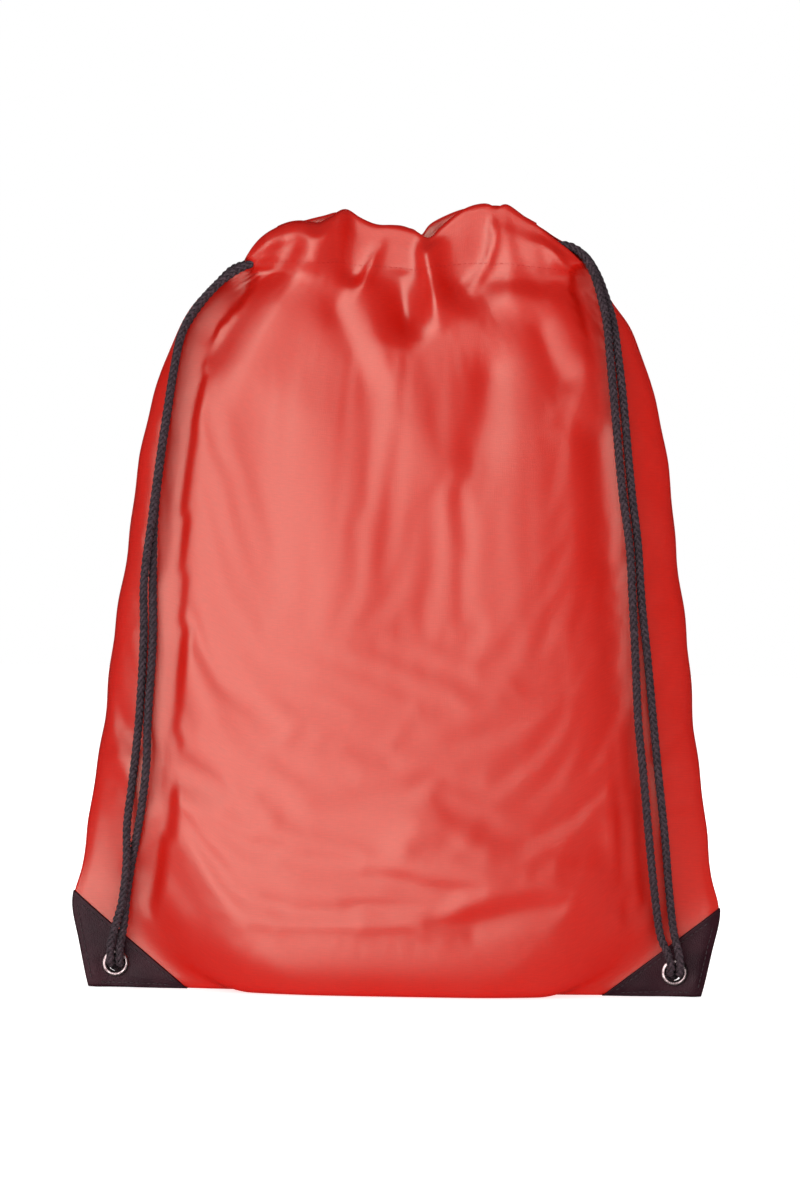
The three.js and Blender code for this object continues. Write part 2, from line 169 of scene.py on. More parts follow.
class Builder:
    """Gathers points and faces of several shells into one mesh."""

    def __init__(self):
        self.points, self.faces, self.total = [], [], 0

    def add(self, points, faces):
        self.faces += [[k + self.total for k in face] for face in np.asarray(faces).tolist()]
        self.points.append(points)
        self.total += len(points)

    def add_rings(self, rings):
        """A closed tube through rings of points, with a cap at each end."""
        count, corners = rings.shape[:2]
        first, last = self.total, self.total + (count - 1) * corners
        self.add(rings.reshape(-1, 3), grid_faces(count, corners, wrap=True))
        self.faces.append([first + k for k in range(corners)][::-1])
        self.faces.append([last + k for k in range(corners)])

    def add_tube(self, line, radius, corners=6):
        """A closed round tube along a line."""
        _, right, up = moving_frames(line)
        angle = (np.arange(corners) * 2 * np.pi / corners)[None, :, None]
        around = right[:, None, :] * np.cos(angle) + up[:, None, :] * np.sin(angle)
        self.add_rings(line[:, None, :] + radius * around)

    def make(self, name):
        obj = mesh_object(name, np.vstack(self.points), self.faces)
        face_outwards(obj)
        return obj


def face_outwards(obj):
    """Turns the faces of closed shells so that they point outwards."""
    shape = bmesh.new()
    shape.from_mesh(obj.data)
    bmesh.ops.recalc_face_normals(shape, faces=shape.faces)
    shape.to_mesh(obj.data)
    shape.free()


def get_points(obj):
    """The mesh's points, in millimetres."""
    co = np.empty(len(obj.data.vertices) * 3)
    obj.data.vertices.foreach_get("co", co)
    return co.reshape(-1, 3) / MM


def set_points(obj, points):
    obj.data.vertices.foreach_set("co", (np.asarray(points) * MM).ravel())
    obj.data.update()


def apply_modifiers(obj):
    """Replaces the mesh with its modified form."""
    graph = bpy.context.evaluated_depsgraph_get()
    mesh = bpy.data.meshes.new_from_object(obj.evaluated_get(graph))
    obj.modifiers.clear()
    old = obj.data
    obj.data = mesh
    bpy.data.meshes.remove(old)


def thicken(obj, thickness):
    """Gives a surface its thickness, behind it."""
    thick = obj.modifiers.new("thick", "SOLIDIFY")
    thick.thickness = thickness * MM
    thick.offset = -1.0
    apply_modifiers(obj)
    obj.data.polygons.foreach_set("use_smooth", [True] * len(obj.data.polygons))


def grid_normals(grid):
    """Unit normals of a grid of points, rows by columns."""
    return unit(np.cross(np.gradient(grid, axis=1), np.gradient(grid, axis=0)))


# ---------------------------------------------------------------- camera

CAMERA_DISTANCE = 2.0
VIEW_HEIGHT = 0.6276       # height of the picture at the bag's middle plane
VIEW_CENTRE = (-0.0008, 0.205)
LEAN = math.radians(-1.0)  # the bag leans a degree in the picture
SENSOR = 36.0

camera_data = bpy.data.cameras.new("camera")
camera_data.sensor_width = SENSOR
camera_data.lens = SENSOR * CAMERA_DISTANCE / VIEW_HEIGHT
camera = bpy.data.objects.new("camera", camera_data)
camera.location = (VIEW_CENTRE[0], -CAMERA_DISTANCE, VIEW_CENTRE[1])
camera.rotation_euler = (math.pi / 2, LEAN, 0.0)
bpy.context.collection.objects.link(camera)
bpy.context.scene.camera = camera


# ---------------------------------------------------------------- cords

CORD_RADIUS = 2.25
CHANNEL_Y = 9.75
STRAND_START = 66.15
LOW_RUN_Z = 381.0
HIGH_RUN_Z = 386.6
EYELET_X = 146.0
EYELET_Z = 13.0
KNOT_FACE = 4.45

# The routes of the CAD strands, from the channel mouth down to the eyelet.
STRANDS = {
    ("left", "front"): [
        (-STRAND_START, -CHANNEL_Y, LOW_RUN_Z), (-72, -9.8, 380.8), (-84, -10.6, 377.5),
        (-95, -12, 370.5), (-105, -13.5, 360.5), (-112.5, -14.8, 350), (-117, -16.8, 339),
        (-120, -19.9, 322), (-123, -23, 300), (-126, -25, 276), (-129.5, -27, 245),
        (-133, -27, 213), (-132.8, -25.6, 182), (-134.5, -26.2, 140), (-137.5, -24.4, 108),
        (-139.8, -23.4, 87), (-140, -20.4, 66), (-142.3, -15.2, 46), (-145.6, -11.6, 34),
        (-148, -10.4, 24), (-148.4, -8.6, 17.5), (-148.4, -6.2, 13.8)],
    ("left", "back"): [
        (-STRAND_START, CHANNEL_Y, LOW_RUN_Z), (-69.5, 9.7, 381), (-76, 8.4, 381.2),
        (-83, 5, 380), (-91, -1, 376.5), (-98, -6, 369), (-106, -8.6, 359.5),
        (-113, -9.9, 349), (-117.4, -11.8, 339), (-120.3, -15, 322), (-123, -18, 300),
        (-126, -20, 276), (-128.6, -22, 245), (-128.6, -24.8, 213), (-128, -26.8, 182),
        (-129.8, -27.8, 140), (-130, -28.6, 119), (-132, -26.4, 98), (-135, -20.9, 80),
        (-138, -15, 64), (-140.4, -10.8, 47), (-141.6, -8.8, 34), (-143.2, -9.2, 24),
        (-143.6, -8.2, 17.5), (-143.6, -6.2, 13.8)],
    ("right", "front"): [
        (STRAND_START, -CHANNEL_Y, HIGH_RUN_Z), (69, -CHANNEL_Y, HIGH_RUN_Z),
        (73, -9.8, 389), (79, -9.6, 391.2), (86, -9.4, 390), (92.5, -9.4, 385),
        (97.5, -10, 375.5), (101, -12, 364), (104, -15.6, 350), (106, -20, 330),
        (108, -23.3, 310), (110, -25.4, 290), (113, -27.4, 262), (117, -28.6, 235),
        (119, -29.8, 207), (121, -30.8, 176), (123, -31, 144), (126, -30.6, 118),
        (130, -24.8, 84), (133.5, -17, 58), (137.5, -9.6, 34), (141.5, -9.2, 24),
        (143.6, -8.2, 17.5), (143.6, -6.2, 13.8)],
    ("right", "back"): [
        (STRAND_START, CHANNEL_Y, HIGH_RUN_Z), (69, CHANNEL_Y, HIGH_RUN_Z),
        (73, 9.6, 389), (79, 8, 391.4), (86, 4.6, 390.8), (93, 0.4, 386.5), (99, -3.8, 377),
        (103.4, -7.6, 365.5), (107.6, -12.2, 351), (110.6, -18.2, 330), (113, -21.5, 310),
        (115, -23.6, 290), (118, -25.4, 262), (121.6, -26.3, 235), (123.8, -27.4, 207),
        (127.5, -27.6, 176), (131, -27.6, 144), (134, -26.6, 118), (138.5, -20, 84),
        (141.5, -12, 58), (144.5, -8.6, 36), (147.4, -9.4, 24), (148.4, -8.4, 17.5),
        (148.4, -6.2, 13.8)],
}

BRAID_YARNS = 4            # yarns that wind each way
BRAID_PITCH = 14.0         # length of one turn of a yarn
YARN_HALF_WIDTH = 0.98
YARN_HALF_HEIGHT = 0.52
YARN_LIFT = 0.36           # how far a yarn rises and dips as it crosses the others
YARN_RADIUS = 1.42
YARN_STEP = 0.5
YARN_CORNERS = 5
STRAND_SAMPLES = 500
RUN_SAMPLES = 60
TURN_SAMPLES = 20


def add_braid(builder, line):
    """A round two-over, two-under braid along a line of points."""
    length = along_line(line)[-1]
    samples = max(12, int(length / YARN_STEP))
    line = resample(line, samples)
    _, right, up = moving_frames(line)
    along = np.linspace(0.0, length, samples)
    turn = (2 * np.pi * np.arange(YARN_CORNERS) / YARN_CORNERS + np.pi / 2)[None, :, None]
    for way in (1, -1):
        for yarn in range(BRAID_YARNS):
            angle = way * 2 * np.pi * along / BRAID_PITCH + 2 * np.pi * yarn / BRAID_YARNS
            crossings = 2 * yarn + way * 2 * BRAID_YARNS * along / BRAID_PITCH
            lift = way * YARN_LIFT * np.sin(np.pi / 2 * (crossings + 0.5))
            outward = right * np.cos(angle)[:, None] + up * np.sin(angle)[:, None]
            centre = line + outward * (YARN_RADIUS + lift)[:, None]
            across = np.cross(unit(np.gradient(centre, axis=0)), outward)[:, None, :]
            builder.add_rings(centre[:, None, :] + across * YARN_HALF_WIDTH * np.cos(turn)
                              + outward[:, None, :] * YARN_HALF_HEIGHT * np.sin(turn))
    builder.add_tube(resample(line, max(4, samples // 4)), YARN_RADIUS - 0.1, corners=10)


def braid(name, line):
    builder = Builder()
    add_braid(builder, line)
    return builder.make(name)


def cord_names(end, *parts):
    return "_".join([end, "cord", *parts])


strands, strand_lines = {}, {}
for (end, side), route in STRANDS.items():
    x = route[-1][0]
    through_eyelet = [(x, y, EYELET_Z) for y in (-3.6, 0.0, KNOT_FACE)]
    line = spline(route + through_eyelet, STRAND_SAMPLES)
    strand_lines[end, side] = line
    strands[end, side] = braid(cord_names(end, side, "strand_braid"), line)

# One run of each cord lies in each lip's channel, and the cord turns back at the far end.
runs, turns = {}, {}
for end, way in ENDS:
    height = LOW_RUN_Z if end == "left" else HIGH_RUN_Z
    for side, facing in SIDES:
        run_x = np.linspace(way * STRAND_START, -way * STRAND_START, RUN_SAMPLES)
        ripple = 0.35 * np.sin(run_x / 9.0) * smoothstep(np.abs(run_x), 66, 58)
        run = points_at(run_x, facing * CHANNEL_Y, height + ripple)
        runs[end, side] = braid(cord_names(end, side, "run_braid"), run)
        angle = np.linspace(0.0, math.pi / 2, TURN_SAMPLES)
        turn = points_at(-way * (STRAND_START + CHANNEL_Y * np.sin(angle)),
                         facing * CHANNEL_Y * np.cos(angle), height)
        turns[end, side] = braid(cord_names(end, side, "turn_braid"), turn)


def knot(name, way):
    """An overhand knot in both strands, seated on the back washer, with two short tails."""
    size, depth = 1.55, 2.5
    t = np.linspace(0.0, 2 * math.pi, 160)
    centre = np.array([way * EYELET_X, KNOT_FACE + 6.0, EYELET_Z + 1.0])
    loops = centre + points_at(size * (np.sin(t) + 2 * np.sin(2 * t)), -depth * np.sin(3 * t),
                               size * (np.cos(t) - 2 * np.cos(2 * t)))
    builder = Builder()
    add_braid(builder, loops)
    for x_shift in (-2.4, 2.4):
        start = np.array([way * EYELET_X + x_shift, KNOT_FACE - 0.5, EYELET_Z])
        add_braid(builder, spline([start, start + (0, 3.5, 0.3), start + (0, 7.0, 0.6)], 20))
    tails = (((3.5, 8.5, -1.0), (7.0, 10.5, -4.5), (9.0, 10.0, -8.5)),
             ((-3.0, 9.0, -1.5), (-4.5, 11.5, -6.0), (-4.0, 11.0, -9.6)))
    for tail in tails:
        route = [np.array([way * (EYELET_X + dx), KNOT_FACE + dy - 2.0, EYELET_Z + dz])
                 for dx, dy, dz in tail]
        add_braid(builder, spline(route, 24))
    return builder.make(name)


knots = {end: knot(f"{end}_knot", way) for end, way in ENDS}


# ---------------------------------------------------------------- fabric shape

PANEL_TOP = 372.0
EDGE_SAMPLES = 500
LOWER_EDGE = [(160, 0.4), (165, 24), (169, 45), (164.5, 64), (159.5, 100), (152, 163),
              (144.5, 226), (136, 288), (129, 320)]
SIDE_EDGE = {LEFT: spline(LOWER_EDGE + [(118, 346), (105.5, 364), (90, 375)], EDGE_SAMPLES),
             RIGHT: spline(LOWER_EDGE + [(118.5, 346), (108, 361), (100, 374)],
                           EDGE_SAMPLES)}
CENTRE_PROFILE = resample(np.vstack([
    np.linspace((0, 0), (26, 0), 20),
    bezier((26, 0), (38, 0), (41, 30), (41, 90)),
    bezier((41, 90), (41, 210), (30, 300), (12, PANEL_TOP))]), EDGE_SAMPLES)
SIDE_LENGTH = along_line(SIDE_EDGE[LEFT])[-1]
CENTRE_LENGTH = along_line(CENTRE_PROFILE)[-1]
SEAM_Y = 0.2               # half the gap between the two panels at a seam
OPEN_Y = 1.75              # half the gap once clear of the seams
FOOT_WIDTH = 160.0

# The line along the top of each lip, from left to right: (x, z).
LIP_TOP = {
    FRONT: [(-86, 377), (-82, 386), (-75, 394), (-64, 400), (-56, 401.5), (-47, 400.5),
            (-41, 403.5), (-33, 408), (-25, 403.5), (-16, 400), (-8, 400), (-2, 399.5), (5, 396.5),
            (11, 393), (16, 398.5), (22.5, 404.5), (30, 409.5), (37, 411.8), (42, 411.8),
            (46, 409.6), (51, 412), (61.5, 405), (69.6, 399.5), (76.5, 394.5), (84, 389),
            (90, 383.5), (95, 377.5)],
    BACK: [(-88, 377), (-83, 387), (-74.7, 394.5), (-64, 400.5), (-54, 403.5), (-44, 406),
           (-36, 408), (-24, 403), (-11, 401), (3, 400), (7, 396), (11.4, 402.5), (25, 409.5),
           (38.5, 412.5), (50.5, 412.4), (62, 407), (71, 402), (77, 398), (85, 393),
           (93, 387), (99, 379)],
}

# Folds of the front, outwards where the height is positive: the path as (x, z) points, the
# half width at its start and end, the height at its start and end.
FRONT_FOLDS = [
    # the lip's left puff, and the crease under it that runs down beside the left cord
    ([(-70, 392), (-60, 396), (-46, 398)], 12, 12, 2.4, 2.8),
    ([(-84, 378), (-70, 385), (-54, 390)], 6, 7, -1.6, -1.2),
    ([(-58, 388), (-70, 376), (-84, 360), (-100, 334), (-113, 310)], 8, 11, -3.4, -7.0),
    ([(-92, 358), (-106, 336), (-114, 312), (-120, 290)], 6, 9, 3.0, 3.5),
    ([(-52, 392), (-62, 366), (-78, 336), (-88, 300)], 12, 22, 2.6, 1.8),
    # the peak between the puffs, and the deep fold right of it with a leaf-shaped ridge
    ([(-34, 405), (-44, 388), (-50, 368)], 9, 13, 5.5, 2.6),
    ([(-20, 399), (-25, 386), (-30, 366)], 11, 7, -9.0, -5.0),
    ([(-10, 400), (-16, 385), (-25, 363)], 4.0, 3.2, 6.5, 3.5),
    # the deep wedge that comes to a point under the notch, and the creased ridge beside it
    ([(-3, 394), (-4, 376), (-1, 356), (3, 336)], 14, 7, -13.0, -7.0),
    ([(6, 397), (10, 380), (14, 364), (16, 342)], 6, 8, 8.0, 3.5),
    ([(0, 392), (5, 376), (10, 358)], 1.9, 2.2, -2.0, -1.0),
    # the broad hollow right of the notch, which ends in a narrow bright streak
    ([(40, 406), (40, 388), (33, 372), (23, 354)], 22, 14, -10.0, -5.0),
    ([(43, 408), (44, 390), (37, 374), (25, 359)], 3.2, 3.6, 6.0, 3.0),
    # the right puff, smooth, and the small folds at its outer end
    ([(50, 404), (52, 390), (54, 350)], 12, 18, 4.0, 2.0),
    ([(70, 400), (72, 386), (70, 360)], 12, 14, -3.0, -2.0),
    ([(70, 392), (78, 384), (86, 374)], 3.0, 3.0, 2.0, 1.5),
    ([(84, 370), (92, 352), (96, 330)], 8, 9, -2.0, -1.8),
    ([(70, 346), (78, 326), (88, 312)], 9, 12, -1.8, -3.0),
    # long soft waves down the body
    ([(-37, 356), (-24, 330), (-6, 296)], 8, 12, -1.8, -1.0),
    ([(-14, 330), (4, 300), (20, 250)], 14, 26, 2.0, 1.5),
    ([(44, 322), (42, 296), (30, 268)], 10, 14, -2.6, -1.4),
    ([(-76, 300), (-70, 240), (-66, 180)], 16, 26, -1.6, -1.0),
    ([(-48, 300), (-36, 230), (-30, 150)], 26, 38, 1.6, 1.4),
    ([(60, 290), (66, 230), (70, 160)], 22, 34, 1.6, 1.4),
    ([(100, 290), (106, 230), (112, 160), (114, 110)], 9, 11, -4.5, -4.0),
    ([(-116, 290), (-122, 240), (-124, 200)], 7, 9, -3.0, -3.0),
    ([(-150, 146), (-128, 126), (-100, 112), (-84, 110)], 7, 9, -4.0, -2.0),
    ([(-146, 120), (-126, 104), (-104, 96)], 6, 7, 3.0, 1.5),
    ([(-120, 190), (-100, 150), (-84, 128)], 9, 10, 2.5, 1.5),
    ([(10, 84), (60, 62), (112, 70)], 22, 22, 2.4, 2.8),
    ([(40, 40), (70, 48), (96, 42)], 9, 9, -1.4, -1.6),
    ([(104, 84), (114, 62), (118, 40)], 7, 7, -3.0, -2.0),
    ([(-134, 66), (-116, 46), (-104, 26)], 7, 7, 2.4, 1.6),
]


def gathers(seed, count, span, reach):
    """Folds that start along a lip and fade as they fan out down the panel."""
    random = np.random.default_rng(seed)
    folds = []
    for k in range(count):
        x = mix(-span, span, (k + 0.5) / count) + random.uniform(-3.0, 3.0)
        length = random.uniform(0.45, 1.0) * reach
        lean = x / span * length * 0.42 + random.uniform(-8.0, 8.0)
        path = [(x, 404), (x + lean * 0.15, 404 - length * 0.35),
                (x + lean * 0.55, 404 - length * 0.7), (x + lean, 404 - length)]
        height = random.uniform(3.5, 7.5) * (1 if k % 2 else -1)
        folds.append((path, random.uniform(4.0, 6.5), random.uniform(8.0, 13.0),
                      height, height * 0.4))
    return folds


BACK_FOLDS = gathers(seed=5, count=17, span=74, reach=150) + [
    ([(-40, 300), (-30, 220), (-36, 140)], 24, 34, 2.4, 2.0),
    ([(46, 310), (60, 230), (52, 150)], 20, 30, -3.0, -2.0),
    ([(-110, 250), (-96, 180), (-104, 110)], 12, 14, -3.5, -2.5),
    ([(112, 240), (104, 180), (116, 120)], 10, 14, 3.0, 2.0),
    ([(-90, 70), (-20, 52), (60, 64)], 9, 10, -2.6, -2.2),
    ([(-60, 110), (10, 96), (90, 118)], 10, 12, 2.4, 1.8),
]
FINE_FOLDS = gathers(seed=11, count=26, span=78, reach=62)
FINE_SHARE = 0.2


def side_edge(u, v, axis):
    """x (axis 0) or z (axis 1) of the side edge that bounds each point's half of the panel."""
    at = np.linspace(0.0, 1.0, EDGE_SAMPLES)
    left, right = (np.interp(v, at, SIDE_EDGE[end][:, axis]) for end in (LEFT, RIGHT))
    return np.where(u < 0, left, right)


def panel(u, v):
    """Panel shape at rest: x, distance from the middle plane, and z. u runs from seam to seam
    as -1 to 1, and v from the base to the neck as 0 to 1."""
    edge_x, edge_z = side_edge(u, v, 0), side_edge(u, v, 1)
    centre_at = along_line(CENTRE_PROFILE)
    middle_y = np.interp(v * CENTRE_LENGTH, centre_at, CENTRE_PROFILE[:, 0])
    middle_z = np.interp(v * CENTRE_LENGTH, centre_at, CENTRE_PROFILE[:, 1])
    aside = np.abs(u)
    from_corner = (1 - aside) * FOOT_WIDTH + v * SIDE_LENGTH
    full = np.clip(1 - aside ** mix(2.2, 4.0, v), 0, 1) ** 0.6 * smoothstep(from_corner, 38, 150)
    to_seam = np.minimum((1 - aside) * edge_x, v * CENTRE_LENGTH)
    gap = mix(SEAM_Y, OPEN_Y, smoothstep(to_seam, 0, 5))
    full_neck = NECK_FILL * smoothstep(middle_z, 315, PANEL_TOP) * np.sqrt(full)
    return (u * edge_x, gap + middle_y * full + full_neck,
            mix(middle_z, edge_z, smoothstep(aside, 0.45, 0.85)))


NECK_FOLD_GAIN = 1.5
FOLD_SAMPLES = 60
FOLD_REACH = 60.0          # beyond this distance a fold has no effect
NECK_SHARPNESS = 1.4       # 2 is a rounded fold, and 1 a crease
FOLD_ROOM = 22.0           # how deep a fold of the panel can be


def fold_height(x, z, folds):
    """Sum of the folds at each point."""
    total = np.zeros_like(x)
    share = np.linspace(0.0, 1.0, FOLD_SAMPLES)
    for path, start_width, end_width, start_height, end_height in folds:
        line = spline(path, FOLD_SAMPLES)
        low, high = line.min(axis=0) - FOLD_REACH, line.max(axis=0) + FOLD_REACH
        near = (x > low[0]) & (x < high[0]) & (z > low[1]) & (z < high[1])
        gap = np.hypot(x[near][:, None] - line[:, 0], z[near][:, None] - line[:, 1])
        nearest = gap.argmin(axis=1)
        distance = gap[np.arange(len(nearest)), nearest]
        at = share[nearest]
        width = mix(start_width, end_width, at)
        height = mix(start_height, end_height, at) * smoothstep(at, 1.02, 0.7)
        height = height * mix(1.0, NECK_FOLD_GAIN, smoothstep(z[near], 310, 350))
        sharpness = mix(2.0, NECK_SHARPNESS, smoothstep(z[near], 300, 345))
        total[near] += height * np.exp(-(distance / width) ** sharpness)
    return total


COLUMNS = 93
PANEL_ROWS = 92
ROW_POWER = 0.94           # rows lie a little closer together towards the neck
LIP_ROWS = 9
ROLL_ROWS = 4
INNER_ROWS = 8
LIP_Y = 19.0               # the lip's outer layer, from the middle plane
NECK_FILL = 4.6            # how much fuller the gathered neck is than its solid
ROLL_Y = 9.9
ROLL_RADIUS = 3.2
ROLL_RISE = 1.9
ROLL_DROP = 1.5            # from the lip's top line down to where the roll starts
INNER_Y = 6.3
HEM_FOOT_Z = 374.2
HEM_FOOT_Y = 11.4
LIP_CLEARANCE = 12.9       # the outer layer stays this far out, past the cords in the channel
LIP_END_Y = {FRONT: 11.5, BACK: 5.5}       # at its ends the lip closes in on the cords
LIP_END_START, LIP_END_STOP = 72.0, 94.0
CHANNEL_END = 66.5

T = np.linspace(-1.0, 1.0, COLUMNS)
FABRIC_U = T * (1.22 - 0.22 * T ** 2)      # columns lie a little closer towards the seams


def fabric_grid(side):
    """The sheet's points, rows by columns: the panel, the lip, the roll over its top, and the
    inner layer of the hem. Its second value is how many rows belong to the outside."""
    v = np.linspace(0.0, 1.0, PANEL_ROWS) ** ROW_POWER
    x, out, z = panel(*np.meshgrid(FABRIC_U, v))
    lip_top = spline(LIP_TOP[side], COLUMNS * 4)
    top_at = along_line(lip_top)
    column_at = (FABRIC_U + 1) / 2 * top_at[-1]
    top_x = np.interp(column_at, top_at, lip_top[:, 0])
    top_z = np.interp(column_at, top_at, lip_top[:, 1])
    rows = list(points_at(x, out, z))
    neck = rows[-1]
    for k in range(1, LIP_ROWS + 1):
        rise = k / LIP_ROWS
        lip_x = mix(neck[:, 0], top_x, rise)
        lip_y = mix(neck[:, 1], LIP_Y, smoothstep(rise, 0.0, 0.42))
        lip_y = mix(lip_y, ROLL_Y + 3.6, smoothstep(rise, 0.66, 1.02))
        to_end = smoothstep(np.abs(lip_x), LIP_END_START, LIP_END_STOP)
        lip_y = mix(lip_y, np.minimum(lip_y, LIP_END_Y[side]), to_end)
        rows.append(points_at(lip_x, lip_y, mix(neck[:, 2], top_z - ROLL_DROP, rise)))
    outside = len(rows)
    for k in range(1, ROLL_ROWS + 1):
        angle = math.pi * k / (ROLL_ROWS + 1)
        roll_y = ROLL_Y + ROLL_RADIUS * math.cos(angle)
        roll_y = mix(roll_y, np.minimum(roll_y, LIP_END_Y[side] - 0.6 * k),
                     smoothstep(np.abs(top_x), LIP_END_START, LIP_END_STOP))
        rows.append(points_at(top_x, roll_y, top_z - ROLL_DROP + ROLL_RISE * math.sin(angle)))
    for drop in np.linspace(0.0, 1.0, INNER_ROWS + 1):
        inner_z = mix(top_z - 2.5, HEM_FOOT_Z, drop)
        inner_y = mix(ROLL_Y - 3.3, INNER_Y, smoothstep(drop, 0.0, 0.3))
        inner_y = mix(inner_y, HEM_FOOT_Y, smoothstep(inner_z, 380.5, HEM_FOOT_Z))
        rows.append(points_at(top_x, inner_y, inner_z))
    return np.array(rows), outside


def clear_of_channel(x, out, z):
    """Keeps the lip's outer layer outside the cords that run in its channel."""
    clear = LIP_CLEARANCE + 0.5 * np.log1p(np.exp((out - LIP_CLEARANCE) * 2))
    strength = smoothstep(z, HEM_FOOT_Z, HEM_FOOT_Z + 4)
    strength = strength * smoothstep(np.abs(x), LIP_END_STOP, LIP_END_START)
    return mix(out, clear, strength)


def smoothed(grid):
    """Where subdivision moves the points of a grid."""
    padded = np.pad(grid, ((1, 1), (1, 1), (0, 0)), mode="reflect", reflect_type="odd")
    across = padded[:, :-2] + 4 * padded[:, 1:-1] + padded[:, 2:]
    return (across[:-2] + 4 * across[1:-1] + across[2:]) / 36


def sculpt(grid, side, outside):
    """Adds the folds, the ripples inside the hem and the puckers of the seams."""
    x, out, z = grid[:, :, 0], grid[:, :, 1], grid[:, :, 2]
    outer_x, outer_z = x[:outside], z[:outside]
    flat_x, flat_z = outer_x.ravel(), outer_z.ravel()
    height = fold_height(flat_x, flat_z, FRONT_FOLDS if side == FRONT else BACK_FOLDS)
    height += FINE_SHARE * fold_height(flat_x, flat_z, FINE_FOLDS)
    height = height.reshape(outer_x.shape)
    room = mix(FOLD_ROOM, LIP_Y - LIP_CLEARANCE, smoothstep(outer_z, 345, 380))
    height = np.where(height < 0, room * np.tanh(height / room), height)
    aside = np.abs(T)[None, :]
    off_seams = smoothstep(1 - aside, 0.0, 0.12) * smoothstep(outer_z, 4, 30)
    off_lip_ends = smoothstep(np.abs(x[PANEL_ROWS - 1]).max() - np.abs(outer_x), -4, 6)
    rising = smoothstep(outer_z, HEM_FOOT_Z - 6, HEM_FOOT_Z + 8)
    out[:outside] += height * mix(off_seams, off_lip_ends, rising)
    out[:outside] = clear_of_channel(outer_x, out[:outside], outer_z)
    in_hem = smoothstep(z[outside:], HEM_FOOT_Z + 3, HEM_FOOT_Z + 12)
    ripple = 0.65 * np.sin(x[outside:] / 3.1 + side) + 0.45 * np.sin(x[outside:] / 5.3) - 0.6
    out[outside:] += ripple * in_hem
    pucker = 0.35 * np.sin(z / 6.1) + 0.6 * np.sin(z / 14.3 + 1.3 + side * 0.4)
    x += np.sign(x) * pucker * smoothstep(aside, 0.9, 1.0) * smoothstep(z, 50, 90)
    return grid


STRAND_REACH = 16.0        # how far from it a strand can dent the fabric
STRAND_LEVEL = 9.0         # how much higher or lower than a point of fabric it is looked for
STRAND_GAP = 0.35
FAR = 99.0


def keep_behind_strands(points, side):
    """Presses the front sheet back where the cord strands lie on it."""
    if side == BACK:
        return points
    for line in strand_lines.values():
        line = resample(line[line[:, 2] < PANEL_TOP], 260)
        level = np.abs(points[:, 2][:, None] - line[None, :, 2]) < STRAND_LEVEL
        distance = np.hypot(points[:, 0][:, None] - line[None, :, 0],
                            points[:, 2][:, None] - line[None, :, 2])
        distance = np.where(level, distance, FAR)
        nearest = distance.argmin(axis=1)
        gap = distance[np.arange(len(points)), nearest]
        limit = -line[nearest, 1] - CORD_RADIUS - STRAND_GAP + 0.012 * gap ** 2
        over = np.where(gap < STRAND_REACH, -points[:, 1] - limit, 0.0)
        points[:, 1] += np.maximum(over, 0.0)
    return points


CLOTH = {
    "quality": 7, "mass": 0.12, "tension_stiffness": 18, "compression_stiffness": 18,
    "shear_stiffness": 6, "bending_stiffness": 1.0, "pin_stiffness": 1.0,
    "vertex_group_mass": "held", "vertex_group_shrink": "growth",
    "shrink_min": -0.003, "shrink_max": -0.03,         # negative values make cloth larger
    "use_pressure": True, "uniform_pressure_force": 0.9,
}
GRAVITY_SHARE = 0.15
CLOTH_FRAMES = 24
MOST_MOVED = 6.0


def settle(obj, held, growth):
    """Lets a sheet that is a little larger than its shape wrinkle for some frames of cloth
    simulation. held is how firmly each point keeps its place, and growth where it is larger."""
    start = get_points(obj)
    for name, weights in (("held", held), ("growth", growth)):
        group = obj.vertex_groups.new(name=name)
        levels = np.round(np.clip(weights, 0.0, 1.0), 2)
        for level in np.unique(levels):
            group.add(np.flatnonzero(levels == level).tolist(), float(level), "REPLACE")
    cloth = obj.modifiers.new("cloth", "CLOTH")
    for key, value in CLOTH.items():
        setattr(cloth.settings, key, value)
    cloth.settings.effector_weights.gravity = GRAVITY_SHARE
    cloth.collision_settings.use_collision = False
    cloth.collision_settings.use_self_collision = False
    cloth.point_cache.frame_start = 1
    cloth.point_cache.frame_end = CLOTH_FRAMES
    for number in range(1, CLOTH_FRAMES + 1):
        bpy.context.scene.frame_set(number)
    apply_modifiers(obj)
    moved = get_points(obj)
    shift = moved - start
    length = np.linalg.norm(shift, axis=1)
    shift *= (np.minimum(length, MOST_MOVED) / np.maximum(length, 1e-6))[:, None]
    set_points(obj, start + shift)
    bpy.context.scene.frame_set(1)
    obj.vertex_groups.clear()


EYELET_HOLE = 5.9


def cut_eyelet_holes(obj):
    """Opens the sheet inside each eyelet."""
    points = get_points(obj)
    mesh = obj.data
    polygons = [list(p.vertices) for p in mesh.polygons]
    centres = np.array([points[p].mean(axis=0) for p in polygons])
    radius = np.hypot(np.abs(centres[:, 0]) - EYELET_X, centres[:, 2] - EYELET_Z)
    drop = (radius < EYELET_HOLE) & (np.abs(centres[:, 1]) < 12)
    if not drop.any():
        return
    shape = bmesh.new()
    shape.from_mesh(mesh)
    shape.faces.ensure_lookup_table()
    bmesh.ops.delete(shape, geom=[shape.faces[k] for k in np.flatnonzero(drop)],
                     context="FACES")
    for vertex in shape.verts:
        x, z = vertex.co.x / MM, vertex.co.z / MM
        way = 1 if x > 0 else -1
        dx, dz = x - way * EYELET_X, z - EYELET_Z
        distance = math.hypot(dx, dz)
        if vertex.is_boundary and 0.1 < distance < EYELET_HOLE + 3.0:
            vertex.co.x = (way * EYELET_X + dx / distance * EYELET_HOLE) * MM
            vertex.co.z = (EYELET_Z + dz / distance * EYELET_HOLE) * MM
    shape.to_mesh(mesh)
    shape.free()


